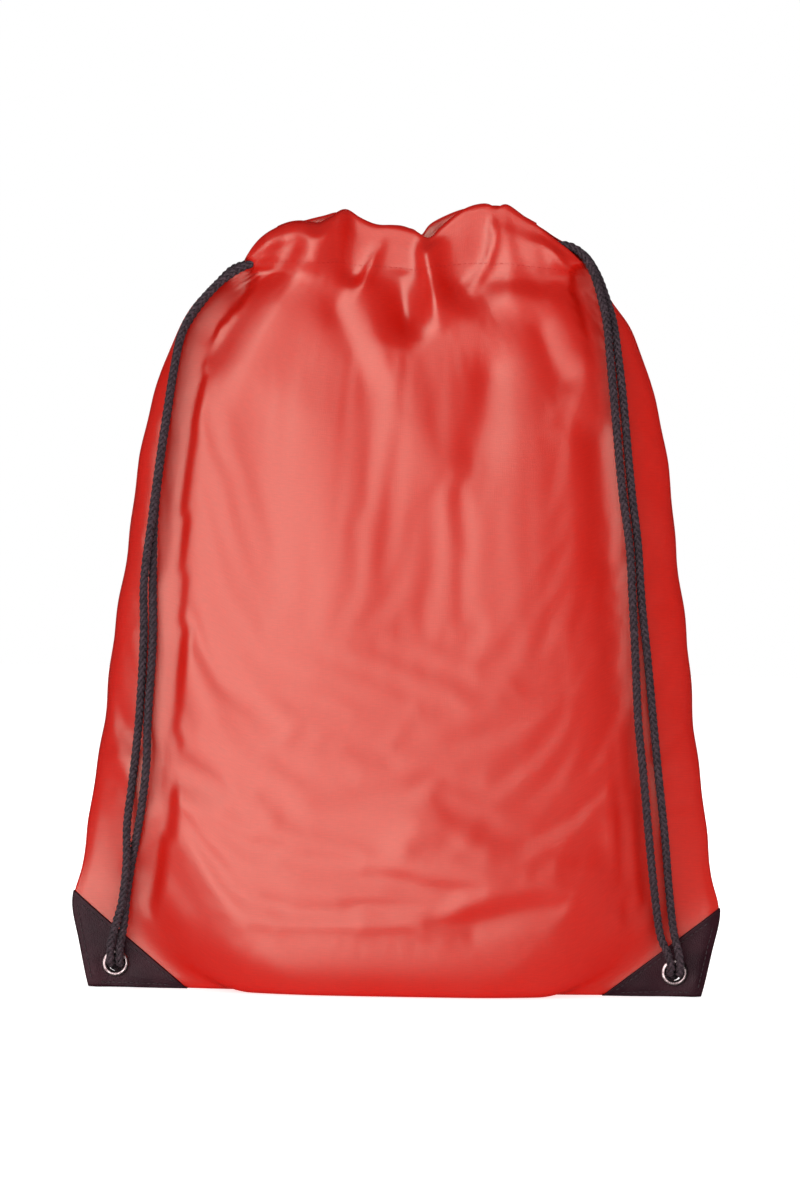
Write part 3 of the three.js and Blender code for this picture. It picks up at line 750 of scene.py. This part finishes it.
def simulate(sheet, points, rows, outside):
    """Settles a sheet, held firmly at its seams, corners, base and hem."""
    z = points[:, 2]
    row = np.repeat(np.arange(rows), COLUMNS)
    aside = np.tile(np.abs(T), rows)
    loose = smoothstep(1 - aside, 0.0, 0.1) * smoothstep(z, 8, 40)
    loose *= smoothstep(z, 392, 372)
    loose *= smoothstep(np.hypot(np.abs(points[:, 0]) - 165, z - 10), 60, 90)
    keep = mix(0.16, 0.45, smoothstep(z, 300, 350))
    held = np.where(row >= outside, 1.0, mix(1.0, keep, loose))
    settle(sheet, held, smoothstep(z, 300, 368) * loose)


FABRIC_THICKNESS = 0.25
CLOTH_HALF_WIDTH = 175.0   # half of the flat cloth, for the weave's coordinates


def make_sheet(side_name, side):
    """One side's fabric, without thickness yet, and the points of its smooth surface."""
    grid, outside = fabric_grid(side)
    grid = sculpt(grid, side, outside)
    grid[:, :, 1] *= side
    flat_u = np.repeat((FABRIC_U * CLOTH_HALF_WIDTH)[None, :], len(grid), axis=0)
    flat_v = np.repeat(along_line(grid[:, COLUMNS // 2])[:, None], COLUMNS, axis=1)
    uv = np.stack([flat_u, flat_v], axis=-1).reshape(-1, 2) * MM
    faces = grid_faces(len(grid), COLUMNS)
    if side == BACK:
        faces = faces[:, ::-1]
    points = grid.reshape(-1, 3)
    face_rows = np.arange(len(faces)) // (COLUMNS - 1)
    beyond = np.abs(points[faces][:, :, 0]).min(axis=1) > CHANNEL_END
    faces = faces[~((face_rows >= outside) & beyond)]
    sheet = mesh_object(f"{side_name}_fabric", points, faces.tolist(), uv)
    simulate(sheet, points, len(grid), outside)
    settled = keep_behind_strands(get_points(sheet), side).reshape(grid.shape)
    x, out, z = settled[:outside, :, 0], side * settled[:outside, :, 1], settled[:outside, :, 2]
    settled[:outside, :, 1] = side * clear_of_channel(x, out, z)
    set_points(sheet, settled.reshape(-1, 3))
    return sheet, smoothed(settled)


def finish_sheet(obj):
    """Smooths the sheet, opens its eyelets, gives it its thickness and bakes its placement into
    its points.
    """
    smooth = obj.modifiers.new("smooth", "SUBSURF")
    smooth.levels = smooth.render_levels = 1
    apply_modifiers(obj)
    cut_eyelet_holes(obj)
    thicken(obj, FABRIC_THICKNESS)
    bend_at_lip(obj)


def bend_at_lip(obj):
    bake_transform(obj)


fabric_points = {}
for side_name, side in SIDES:
    sheet, fabric_points[side] = make_sheet(side_name, side)
    finish_sheet(sheet)
    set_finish(sheet, "panel_fabric")
    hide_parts(f"{side_name}_panel", f"{side_name}_hem_channel")


# ---------------------------------------------------------------- points on the fabric

def cubic_weights(t):
    return np.stack([-0.5 * t + t ** 2 - 0.5 * t ** 3, 1 - 2.5 * t ** 2 + 1.5 * t ** 3,
                     0.5 * t + 2 * t ** 2 - 1.5 * t ** 3, -0.5 * t ** 2 + 0.5 * t ** 3])


def sample_grid(grid, row, column):
    """Smooth reading of a grid of points or normals between its rows and columns."""
    row = np.clip(row, 0, grid.shape[0] - 1.001)
    column = np.clip(column, 0, grid.shape[1] - 1.001)
    row_base, column_base = np.floor(row).astype(int), np.floor(column).astype(int)
    row_share = cubic_weights(row - row_base)
    column_share = cubic_weights(column - column_base)
    total = 0.0
    for a in range(4):
        at_row = np.clip(row_base + a - 1, 0, grid.shape[0] - 1)
        for b in range(4):
            at_column = np.clip(column_base + b - 1, 0, grid.shape[1] - 1)
            share = (row_share[a] * column_share[b])[..., None]
            total = total + grid[at_row, at_column] * share
    return total


def surface(side, row, column):
    """Points of the fabric's outer face between its rows and columns, and their normals."""
    normal = unit(sample_grid(fabric_normals[side], row, column))
    return sample_grid(fabric_points[side], row, column), normal


def on_fabric(side, u, v):
    """Points of the panel's outer face and its normals, pointing outwards."""
    u, v = np.broadcast_arrays(np.asarray(u, float), np.asarray(v, float))
    row = np.clip(v, 0, 1) ** (1 / ROW_POWER) * (PANEL_ROWS - 1)
    column = np.interp(u, FABRIC_U, np.arange(COLUMNS))
    return surface(side, row, column)


fabric_normals = {side: grid_normals(fabric_points[side]) * -side for _, side in SIDES}


# ---------------------------------------------------------------- stitching

STITCH_PITCH = 3.0
STITCH_LENGTH = 2.3
STITCH_RISE = np.array([-1.1, 0.55, 0.9, 0.9, 0.55, -1.1])     # in thread radii
THREAD_RADIUS = 0.24


def add_stitches(builder, line, normals, pitch=STITCH_PITCH, length=STITCH_LENGTH,
                 radius=THREAD_RADIUS):
    """A row of single stitches along a line that lies on a surface."""
    at = along_line(line)
    for k in range(int(at[-1] / pitch)):
        span = k * pitch + pitch / 2 + np.linspace(-0.5, 0.5, 6) * length
        points, normal = (points_at(*(np.interp(span, at, table[:, axis]) for axis in range(3)))
                          for table in (line, normals))
        builder.add_tube(points + normal * (radius * STITCH_RISE)[:, None], radius)


# ---------------------------------------------------------------- corner patches

PATCH_THICKNESS = 0.95
PATCH_TOP = {LEFT: 50.0, RIGHT: 47.0}
PATCH_FOOT_X = 108.0
PATCH_TOP_X = 169.0
PATCH_COLUMNS, PATCH_ROWS = 56, 34
PATCH_EDGE_SAMPLES = 400
PATCH_BEVEL = 0.9
PATCH_GAP = 0.14           # between the fabric and the patch's back
PATCH_WALL = 0.55
SEAM_GAP = 0.03            # how close the front and back patches come at the seam
STITCH_INSET = 3.8


def patch_edge(way, u):
    """v where the patch's sloping edge crosses each u."""
    v = np.linspace(0.0, 0.2, PATCH_EDGE_SAMPLES)
    slope = PATCH_TOP[way] / (PATCH_TOP_X - PATCH_FOOT_X)
    found = []
    for value in u:
        x, _, z = panel(np.full(len(v), value), v)
        found.append(np.interp(0.0, z - slope * (x - PATCH_FOOT_X), v))
    return np.array(found)


def corner_patch(name, way, side):
    """The patch of one corner and side, with its edge turned down all round."""
    u = mix(PATCH_FOOT_X / FOOT_WIDTH + 0.003, 1.0, np.linspace(0, 1, PATCH_COLUMNS))
    top = patch_edge(way, u)
    share = 1 - (1 - np.linspace(0.0, 1.0, PATCH_ROWS)) ** 1.7
    v = share[:, None] * top[None, :]
    points, normals = on_fabric(side, way * u[None, :] + 0 * v, v)
    to_edge = (1 - share)[:, None] * top[None, :] * CENTRE_LENGTH
    bevel = np.sqrt(1 - (1 - np.clip(to_edge / PATCH_BEVEL, 0, 1)) ** 2)
    shell = points + normals * (PATCH_GAP + PATCH_THICKNESS * bevel)[:, :, None]
    turned_down = (points - normals * 0.25)[-1:]
    shell = np.concatenate([shell, turned_down], axis=0)
    rim = shell[:, -1:].copy()
    rim[:, :, 0] += way * 0.35
    rim[:, :, 1] = side * SEAM_GAP
    shell = np.concatenate([shell, rim], axis=1)
    foot = shell[:1].copy()
    foot[:, :, 1] = side * SEAM_GAP
    shell = np.concatenate([foot, shell], axis=0)
    shell[:, :, 2] = np.maximum(shell[:, :, 2], 2 * SEAM_GAP)
    faces = grid_faces(*shell.shape[:2])
    if side * way > 0:
        faces = faces[:, ::-1]
    patch = mesh_object(name, shell.reshape(-1, 3), faces.tolist())
    cut_eyelet_holes(patch)
    thicken(patch, PATCH_WALL)
    return patch, patch_stitches(name, way, side, u, top)


# Where the rows of stitches start and stop: shares of the slope and of u, and the first v.
SLOPE_ROW = (0.12, 0.93)
FOOT_ROW = (PATCH_FOOT_X / FOOT_WIDTH + 0.06, 0.965)
SIDE_ROW_START = 0.012
SIDE_ROW_TOP_U = 0.975


def patch_stitches(name, way, side, u, top):
    """The patch's three rows of stitches: along its slope, its side edge and its foot."""
    inset = STITCH_INSET / CENTRE_LENGTH
    slope_u = mix(u[0], 1.0, np.linspace(*SLOPE_ROW, 90))
    slope_v = np.clip(np.interp(slope_u, u, top) - inset, 0.002, 1)
    side_v = np.linspace(SIDE_ROW_START, np.interp(SIDE_ROW_TOP_U, u, top) - inset * 1.2, 60)
    side_u = 1 - STITCH_INSET * 0.72 / FOOT_WIDTH
    foot_u = np.linspace(*FOOT_ROW, 60)
    builder = Builder()
    for row_u, row_v in ((slope_u, slope_v), (side_u, side_v), (foot_u, inset * 0.8)):
        line, normal = on_fabric(side, way * row_u, row_v)
        add_stitches(builder, line + normal * (PATCH_GAP + PATCH_THICKNESS), normal)
    return builder.make(name + "_stitching")


patch_stitching = []
for end, way in ENDS:
    for side_name, side in SIDES:
        patch, stitching = corner_patch(f"{end}_corner_leatherette_{side_name}", way, side)
        for piece in (patch, stitching):
            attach(piece, "bag")
            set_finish(piece, "leatherette")
        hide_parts(f"{end}_corner_patch_{side_name}")
        patch_stitching.append(stitching)


# ---------------------------------------------------------------- hem and seam stitching

HEM_STITCH_ROW = PANEL_ROWS + 1.0
HEM_STITCH_SAMPLES = 400
hem_stitching = []
for side_name, side in SIDES:
    builder = Builder()
    column = np.linspace(4, COLUMNS - 5, HEM_STITCH_SAMPLES)
    line, normal = surface(side, np.full(HEM_STITCH_SAMPLES, HEM_STITCH_ROW), column)
    add_stitches(builder, line, normal, pitch=2.8, length=2.1, radius=0.13)
    stitching = builder.make(f"{side_name}_hem_stitching")
    bend_at_lip(stitching)
    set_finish(stitching, "panel_fabric")
    hem_stitching.append(stitching)

SEAM_ALLOWANCE = 9.0
SEAM_HALF_THICKNESS = 0.3
FOOT_SEAM_REACH = 138.0    # the base seam's strip ends short of the eyelets


def allowance(name, edge, inward):
    """A strip of both panels' edges inside a seam, with its overlock stitches."""
    count = len(edge)
    at = along_line(edge)
    builder = Builder()
    depths = np.array([0.25, 2.5, 5.0, 7.0, SEAM_ALLOWANCE])
    wave = np.sin(at / 11.0) + 0.6 * np.sin(at / 6.3 + 2)
    rings = []
    for face in (1, -1):
        for depth in depths if face > 0 else depths[::-1]:
            ring = edge + inward * depth
            ring[:, 1] = (wave * 0.7 * (depth / SEAM_ALLOWANCE) ** 2
                          + face * SEAM_HALF_THICKNESS)
            rings.append(ring)
    rings = np.stack(rings, axis=1)
    builder.add(rings.reshape(-1, 3), grid_faces(count, 2 * len(depths), wrap=True))
    for k in range(2, count - 2, 2):
        loop = np.array([edge[k] + inward[k] * 5.5, edge[k] + inward[k] * 8.0,
                         edge[k + 1] + inward[k + 1] * (SEAM_ALLOWANCE + 0.35)])
        loop[:, 1] = wave[k] * 0.7 * np.array([0.37, 0.79, 1.0]) + np.array([0.5, 0.5, 0.0])
        builder.add_tube(loop, THREAD_RADIUS * 0.7, corners=5)
    return builder.make(name)


# The lines of the side seams and the base seam, and the ways into the bag from them.
SEAM_SAMPLES = 190
seam_edges = []
side_v = np.linspace(0.03, 0.985, SEAM_SAMPLES)
for end, way in ENDS:
    side_line, _ = on_fabric(FRONT, float(way), side_v)
    inner, _ = on_fabric(FRONT, way * 0.93, side_v)
    inward = inner - side_line
    inward[:, 1] = 0
    seam_edges.append((f"{end}_seam_allowance", f"{end}_side_seam", side_line, unit(inward)))
foot_line = points_at(np.linspace(-FOOT_SEAM_REACH, FOOT_SEAM_REACH, SEAM_SAMPLES), 0.0, 0.9)
seam_edges.append(("base_seam_allowance", "bottom_seam", foot_line,
                   np.tile((0.0, 0.0, 1.0), (SEAM_SAMPLES, 1))))
for name, node, line, inward in seam_edges:
    seam = allowance(name, line, inward)
    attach(seam, "bag")
    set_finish(seam, "seam_allowance")
    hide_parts(node)


# ---------------------------------------------------------------- eyelets

def lathe(name, way, profile, segments=72):
    """A ring turned about the eyelet's axis from a closed outline of (radius, y) points."""
    radius, depth = np.array(profile, float).T[:, :, None]
    angle = np.arange(segments) * 2 * np.pi / segments
    points = points_at(way * EYELET_X + radius * np.cos(angle), depth,
                       EYELET_Z + radius * np.sin(angle))
    corner = np.arange(len(profile) * segments).reshape(-1, segments)
    ahead, below = np.roll(corner, -1, axis=1), np.roll(corner, -1, axis=0)
    faces = np.stack([corner, ahead, np.roll(ahead, -1, axis=0), below], axis=-1)
    ring = mesh_object(name, points.reshape(-1, 3), faces.reshape(-1, 4).tolist())
    face_outwards(ring)
    soft = ring.modifiers.new("soft", "SUBSURF")
    soft.levels = soft.render_levels = 1
    apply_modifiers(ring)
    ring.data.polygons.foreach_set("use_smooth", [True] * len(ring.data.polygons))
    return ring


EYELET_PROFILE = [
    (4.75, 4.1), (4.76, 2.0), (4.76, -2.0), (4.8, -3.4), (5.0, -3.95), (5.45, -4.15),
    (6.0, -4.12), (6.55, -3.9), (6.93, -3.55), (7.0, -3.25), (6.8, -3.1), (6.3, -3.2),
    (5.75, -3.2), (5.5, -2.7), (5.5, 2.8), (5.7, 4.15), (5.62, 4.42), (5.2, 4.5)]
WASHER_PROFILE = [
    (5.62, 3.3), (5.6, 3.9), (5.8, 4.15), (6.3, 4.2), (6.8, 4.0), (7.0, 3.6), (6.95, 3.25),
    (6.4, 3.15)]

for end, way in ENDS:
    eyelet = lathe(f"{end}_eyelet_ring", way, EYELET_PROFILE)
    washer = lathe(f"{end}_eyelet_back_ring", way, WASHER_PROFILE)
    for piece, node in ((eyelet, f"{end}_eyelet"), (washer, f"{end}_eyelet_washer")):
        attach(piece, "bag")
        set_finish(piece, "eyelet_metal")
        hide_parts(node)


# ---------------------------------------------------------------- cords on their bodies


for end, way in ENDS:
    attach(knots[end], "bag")
    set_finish(knots[end], "cord_yarn")
    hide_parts(cord_names(end, "knot"))
    for side_name, side in SIDES:
        lip = f"{side_name}_lip"
        strand, line = strands[end, side_name], strand_lines[end, side_name]
        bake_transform(strand)
        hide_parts(cord_names(end, side_name, "strand"))
        run = runs[end, side_name]
        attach(run, lip)
        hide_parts(cord_names(end, side_name, "run"))
        turn = turns[end, side_name]
        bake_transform(turn)
        for piece in (strand, run, turn):
            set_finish(piece, "cord_yarn")
    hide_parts(cord_names(end, "turn"))


# ---------------------------------------------------------------- materials

class Nodes:
    """A material's node tree with short ways to add nodes."""

    def __init__(self, name):
        self.material = bpy.data.materials.new(name)
        self.material.use_nodes = True
        self.tree = self.material.node_tree
        self.shader = self.tree.nodes["Principled BSDF"]

    def add(self, kind, inputs=(), **settings):
        node = self.tree.nodes.new(kind)
        for key, value in settings.items():
            setattr(node, key, value)
        for key, value in dict(inputs).items():
            self.set(node.inputs[key], value)
        return node

    def set(self, socket, value):
        if isinstance(value, bpy.types.NodeSocket):
            self.tree.links.new(value, socket)
        else:
            socket.default_value = value

    def coordinates(self, scale, cloth=False):
        """Cloth or object coordinates, in cycles per metre along each axis."""
        if cloth:
            source = self.add("ShaderNodeUVMap", uv_map="cloth").outputs[0]
        else:
            source = self.add("ShaderNodeTexCoord").outputs["Object"]
        return self.add("ShaderNodeMapping", {"Vector": source, "Scale": scale}).outputs[0]

    def noise(self, scale, detail=2.0, cloth=False):
        where = self.coordinates(scale, cloth)
        return self.add("ShaderNodeTexNoise",
                        {"Vector": where, "Scale": 1.0, "Detail": detail}).outputs["Fac"]

    def wave(self, scale, cloth=False):
        where = self.coordinates(scale, cloth)
        node = self.add("ShaderNodeTexWave", {"Vector": where, "Scale": 1.0},
                        wave_profile="SIN")
        return node.outputs["Fac"]

    def ramp(self, value, low, high, start=0.0, stop=1.0):
        return self.add("ShaderNodeMapRange", {"Value": value, "From Min": low,
                        "From Max": high, "To Min": start, "To Max": stop}).outputs[0]

    def math(self, kind, a, b):
        return self.add("ShaderNodeMath", {0: a, 1: b}, operation=kind).outputs[0]

    def blend(self, share, a, b):
        node = self.add("ShaderNodeMix", {0: share}, data_type="RGBA")
        self.set(node.inputs[6], a)
        self.set(node.inputs[7], b)
        return node.outputs[2]

    def bump(self, height, distance, strength=1.0, normal=None):
        inputs = {"Height": height, "Distance": distance, "Strength": strength}
        if normal is not None:
            inputs["Normal"] = normal
        return self.add("ShaderNodeBump", inputs).outputs[0]

    def finish(self, **inputs):
        for key, value in inputs.items():
            self.set(self.shader.inputs[key.replace("_", " ")], value)
        return self.material


def rgb(red, green, blue):
    """Linear colour from screen values of 0 to 255."""
    return tuple(((v / 255 + 0.055) / 1.055) ** 2.4 if v > 10 else v / 255 / 12.92
                 for v in (red, green, blue)) + (1.0,)


def woven_red(name, dark=1.0):
    """Thin satin-like polyester: fine threads, uneven picks and a soft broad sheen."""
    nodes = Nodes(name)
    slub = nodes.noise((170, 1500, 1), detail=3.0, cloth=True)
    warp = nodes.noise((1500, 120, 1), detail=2.0, cloth=True)
    cloudy = nodes.noise((28, 22, 1), detail=2.0, cloth=True)
    threads = nodes.math("MULTIPLY", nodes.wave((2300, 1, 1), cloth=True),
                         nodes.wave((1, 2300, 1), cloth=True))
    body = tuple(c * dark for c in rgb(209, 22, 9)[:3]) + (1.0,)
    deep = tuple(c * dark for c in rgb(195, 16, 6)[:3]) + (1.0,)
    colour = nodes.blend(nodes.ramp(slub, 0.3, 0.7), body, deep)
    colour = nodes.blend(nodes.ramp(warp, 0.35, 0.75, 0.0, 0.5), colour, deep)
    rough = nodes.math("ADD", nodes.ramp(cloudy, 0.3, 0.7, 0.28, 0.34),
                       nodes.ramp(slub, 0.3, 0.7, 0.0, 0.06))
    grain = nodes.math("ADD", nodes.ramp(slub, 0, 1), nodes.ramp(warp, 0, 1))
    fine = nodes.bump(threads, 0.00002, 0.5)
    normal = nodes.bump(grain, 0.00007, 0.5, fine)
    return nodes.finish(Base_Color=colour, Roughness=rough, Normal=normal,
                        Specular_IOR_Level=0.45, Specular_Tint=(0.35, 0.95, 0.8, 1.0),
                        Anisotropic=0.2)


def leatherette():
    nodes = Nodes("leatherette")
    where = nodes.coordinates((900, 900, 900))
    cells = nodes.add("ShaderNodeTexVoronoi", {"Vector": where, "Scale": 1.0},
                      feature="DISTANCE_TO_EDGE").outputs["Distance"]
    patchy = nodes.noise((60, 60, 60), detail=4.0)
    fine = nodes.noise((2600, 2600, 2600), detail=2.0)
    colour = nodes.blend(nodes.ramp(patchy, 0.35, 0.7), rgb(38, 10, 20), rgb(52, 18, 28))
    rough = nodes.ramp(patchy, 0.3, 0.7, 0.36, 0.5)
    grain = nodes.math("ADD", nodes.ramp(cells, 0.0, 0.25), nodes.ramp(fine, 0, 1, 0, 0.4))
    return nodes.finish(Base_Color=colour, Roughness=rough,
                        Normal=nodes.bump(grain, 0.00012, 0.7), Specular_IOR_Level=0.09)


def yarn():
    nodes = Nodes("cord_yarn")
    fibre = nodes.noise((700, 700, 2400), detail=3.0)
    uneven = nodes.noise((300, 300, 300), detail=2.0)
    colour = nodes.blend(nodes.ramp(fibre, 0.3, 0.7), rgb(34, 23, 30), rgb(86, 66, 74))
    colour = nodes.blend(nodes.ramp(uneven, 0.35, 0.7, 0.0, 0.5), colour, rgb(24, 17, 21))
    return nodes.finish(Base_Color=colour, Roughness=nodes.ramp(fibre, 0, 1, 0.55, 0.75),
                        Normal=nodes.bump(fibre, 0.0001, 0.6), Sheen_Weight=0.04,
                        Sheen_Roughness=0.5, Specular_IOR_Level=0.12)


def nickel():
    nodes = Nodes("eyelet_metal")
    scuffs = nodes.noise((500, 500, 500), detail=5.0)
    # Both greys carry a pinkish cast that is a painted reflection of the red fabric around the
    # rings; the noise between the lighter and darker grey is scuffed wear.
    colour = nodes.blend(nodes.ramp(scuffs, 0.4, 0.7), rgb(150, 134, 134), rgb(100, 82, 84))
    return nodes.finish(Base_Color=colour, Roughness=nodes.ramp(scuffs, 0.3, 0.7, 0.32, 0.5),
                        Metallic=1.0, Normal=nodes.bump(scuffs, 0.00003, 0.5))


def thread(name, light, shade):
    nodes = Nodes(name)
    twist = nodes.noise((1800, 1800, 1800), detail=2.0)
    colour = nodes.blend(nodes.ramp(twist, 0.3, 0.7), light, shade)
    return nodes.finish(Base_Color=colour, Roughness=nodes.ramp(twist, 0, 1, 0.5, 0.7),
                        Normal=nodes.bump(twist, 0.00008, 0.6), Specular_IOR_Level=0.2)


def floor_paint():
    nodes = Nodes("floor")
    mottle = nodes.noise((6, 6, 6), detail=3.0)
    colour = nodes.blend(nodes.ramp(mottle, 0.3, 0.7), (0.88, 0.88, 0.88, 1), (0.9, 0.9, 0.9, 1))
    return nodes.finish(Base_Color=colour, Roughness=0.9, Specular_IOR_Level=0.0,
                        Emission_Color=(1.0, 1.0, 1.0, 1.0), Emission_Strength=0.7)


RED = woven_red("panel_fabric")
SEAM_RED = woven_red("seam_allowance", dark=0.85)
LEATHERETTE = leatherette()
YARN = yarn()
METAL = nickel()
RED_THREAD = thread("red_thread", rgb(206, 28, 18), rgb(184, 20, 13))
DARK_THREAD = thread("dark_thread", rgb(70, 52, 56), rgb(34, 20, 25))
SLOT_MATERIALS = {"panel_fabric": RED, "seam_allowance": SEAM_RED, "leatherette": LEATHERETTE,
                  "cord_yarn": YARN, "eyelet_metal": METAL}


def paint(obj, material):
    obj.data.materials.clear()
    obj.data.materials.append(material)


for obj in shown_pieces():
    paint(obj, SLOT_MATERIALS[obj["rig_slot"]])
for stitching in hem_stitching:
    paint(stitching, RED_THREAD)
for stitching in patch_stitching:
    paint(stitching, DARK_THREAD)


# ---------------------------------------------------------------- studio

FLOOR_RADIUS = 9000.0
RIM_POINTS = 96
rim_angle = np.linspace(0, 2 * math.pi, RIM_POINTS, endpoint=False)
rim = points_at(np.cos(rim_angle), np.sin(rim_angle), 0.0) * FLOOR_RADIUS
floor = mesh_object("floor", rim, [list(range(RIM_POINTS))])
paint(floor, floor_paint())
floor.visible_glossy = False
floor.visible_shadow = False   # the gloss light reaches below the floor

world = bpy.data.worlds.new("studio")
world.use_nodes = True
world.cycles_visibility.glossy = False
bpy.context.scene.world = world
tree = world.node_tree
ambient = tree.nodes["Background"]
ambient.inputs["Color"].default_value = (1.0, 1.0, 1.0, 1.0)
ambient.inputs["Strength"].default_value = 0.56
backdrop = tree.nodes.new("ShaderNodeBackground")
backdrop.inputs["Color"].default_value = (1.0, 1.0, 1.0, 1.0)
backdrop.inputs["Strength"].default_value = 1.0
ray = tree.nodes.new("ShaderNodeLightPath")
choose = tree.nodes.new("ShaderNodeMixShader")
tree.links.new(ray.outputs["Is Camera Ray"], choose.inputs[0])
tree.links.new(ambient.outputs[0], choose.inputs[1])
tree.links.new(backdrop.outputs[0], choose.inputs[2])
tree.links.new(choose.outputs[0], tree.nodes["World Output"].inputs["Surface"])


def softbox(name, place, aim, width, height, watts, shade=True, gloss=True):
    """A soft rectangular light, which may give only shading or only gloss."""
    light = bpy.data.lights.new(name, "AREA")
    light.shape = "RECTANGLE"
    light.size, light.size_y = width, height
    light.energy = watts
    obj = bpy.data.objects.new(name, light)
    obj.location = place
    obj.rotation_euler = (Vector(aim) - Vector(place)).to_track_quat("-Z", "Y").to_euler()
    obj.visible_camera = False
    obj.visible_diffuse = shade
    obj.visible_glossy = gloss
    bpy.context.collection.objects.link(obj)


softbox("key_shade", (-1.7, -1.7, 1.1), (0, 0, 0.22), 1.2, 1.2, 14, gloss=False)
softbox("key_gloss", (-1.12, -2.2, 0.3), (0, 0, 0.22), 2.7, 3.3, 190, shade=False)
softbox("fill", (1.7, -1.7, 0.7), (0, 0, 0.2), 0.9, 1.5, 6, gloss=False)
softbox("behind", (0.6, 2.2, 1.5), (0, 0, 0.2), 1.8, 1.4, 26, gloss=False)

bpy.context.scene.view_settings.view_transform = "Standard"
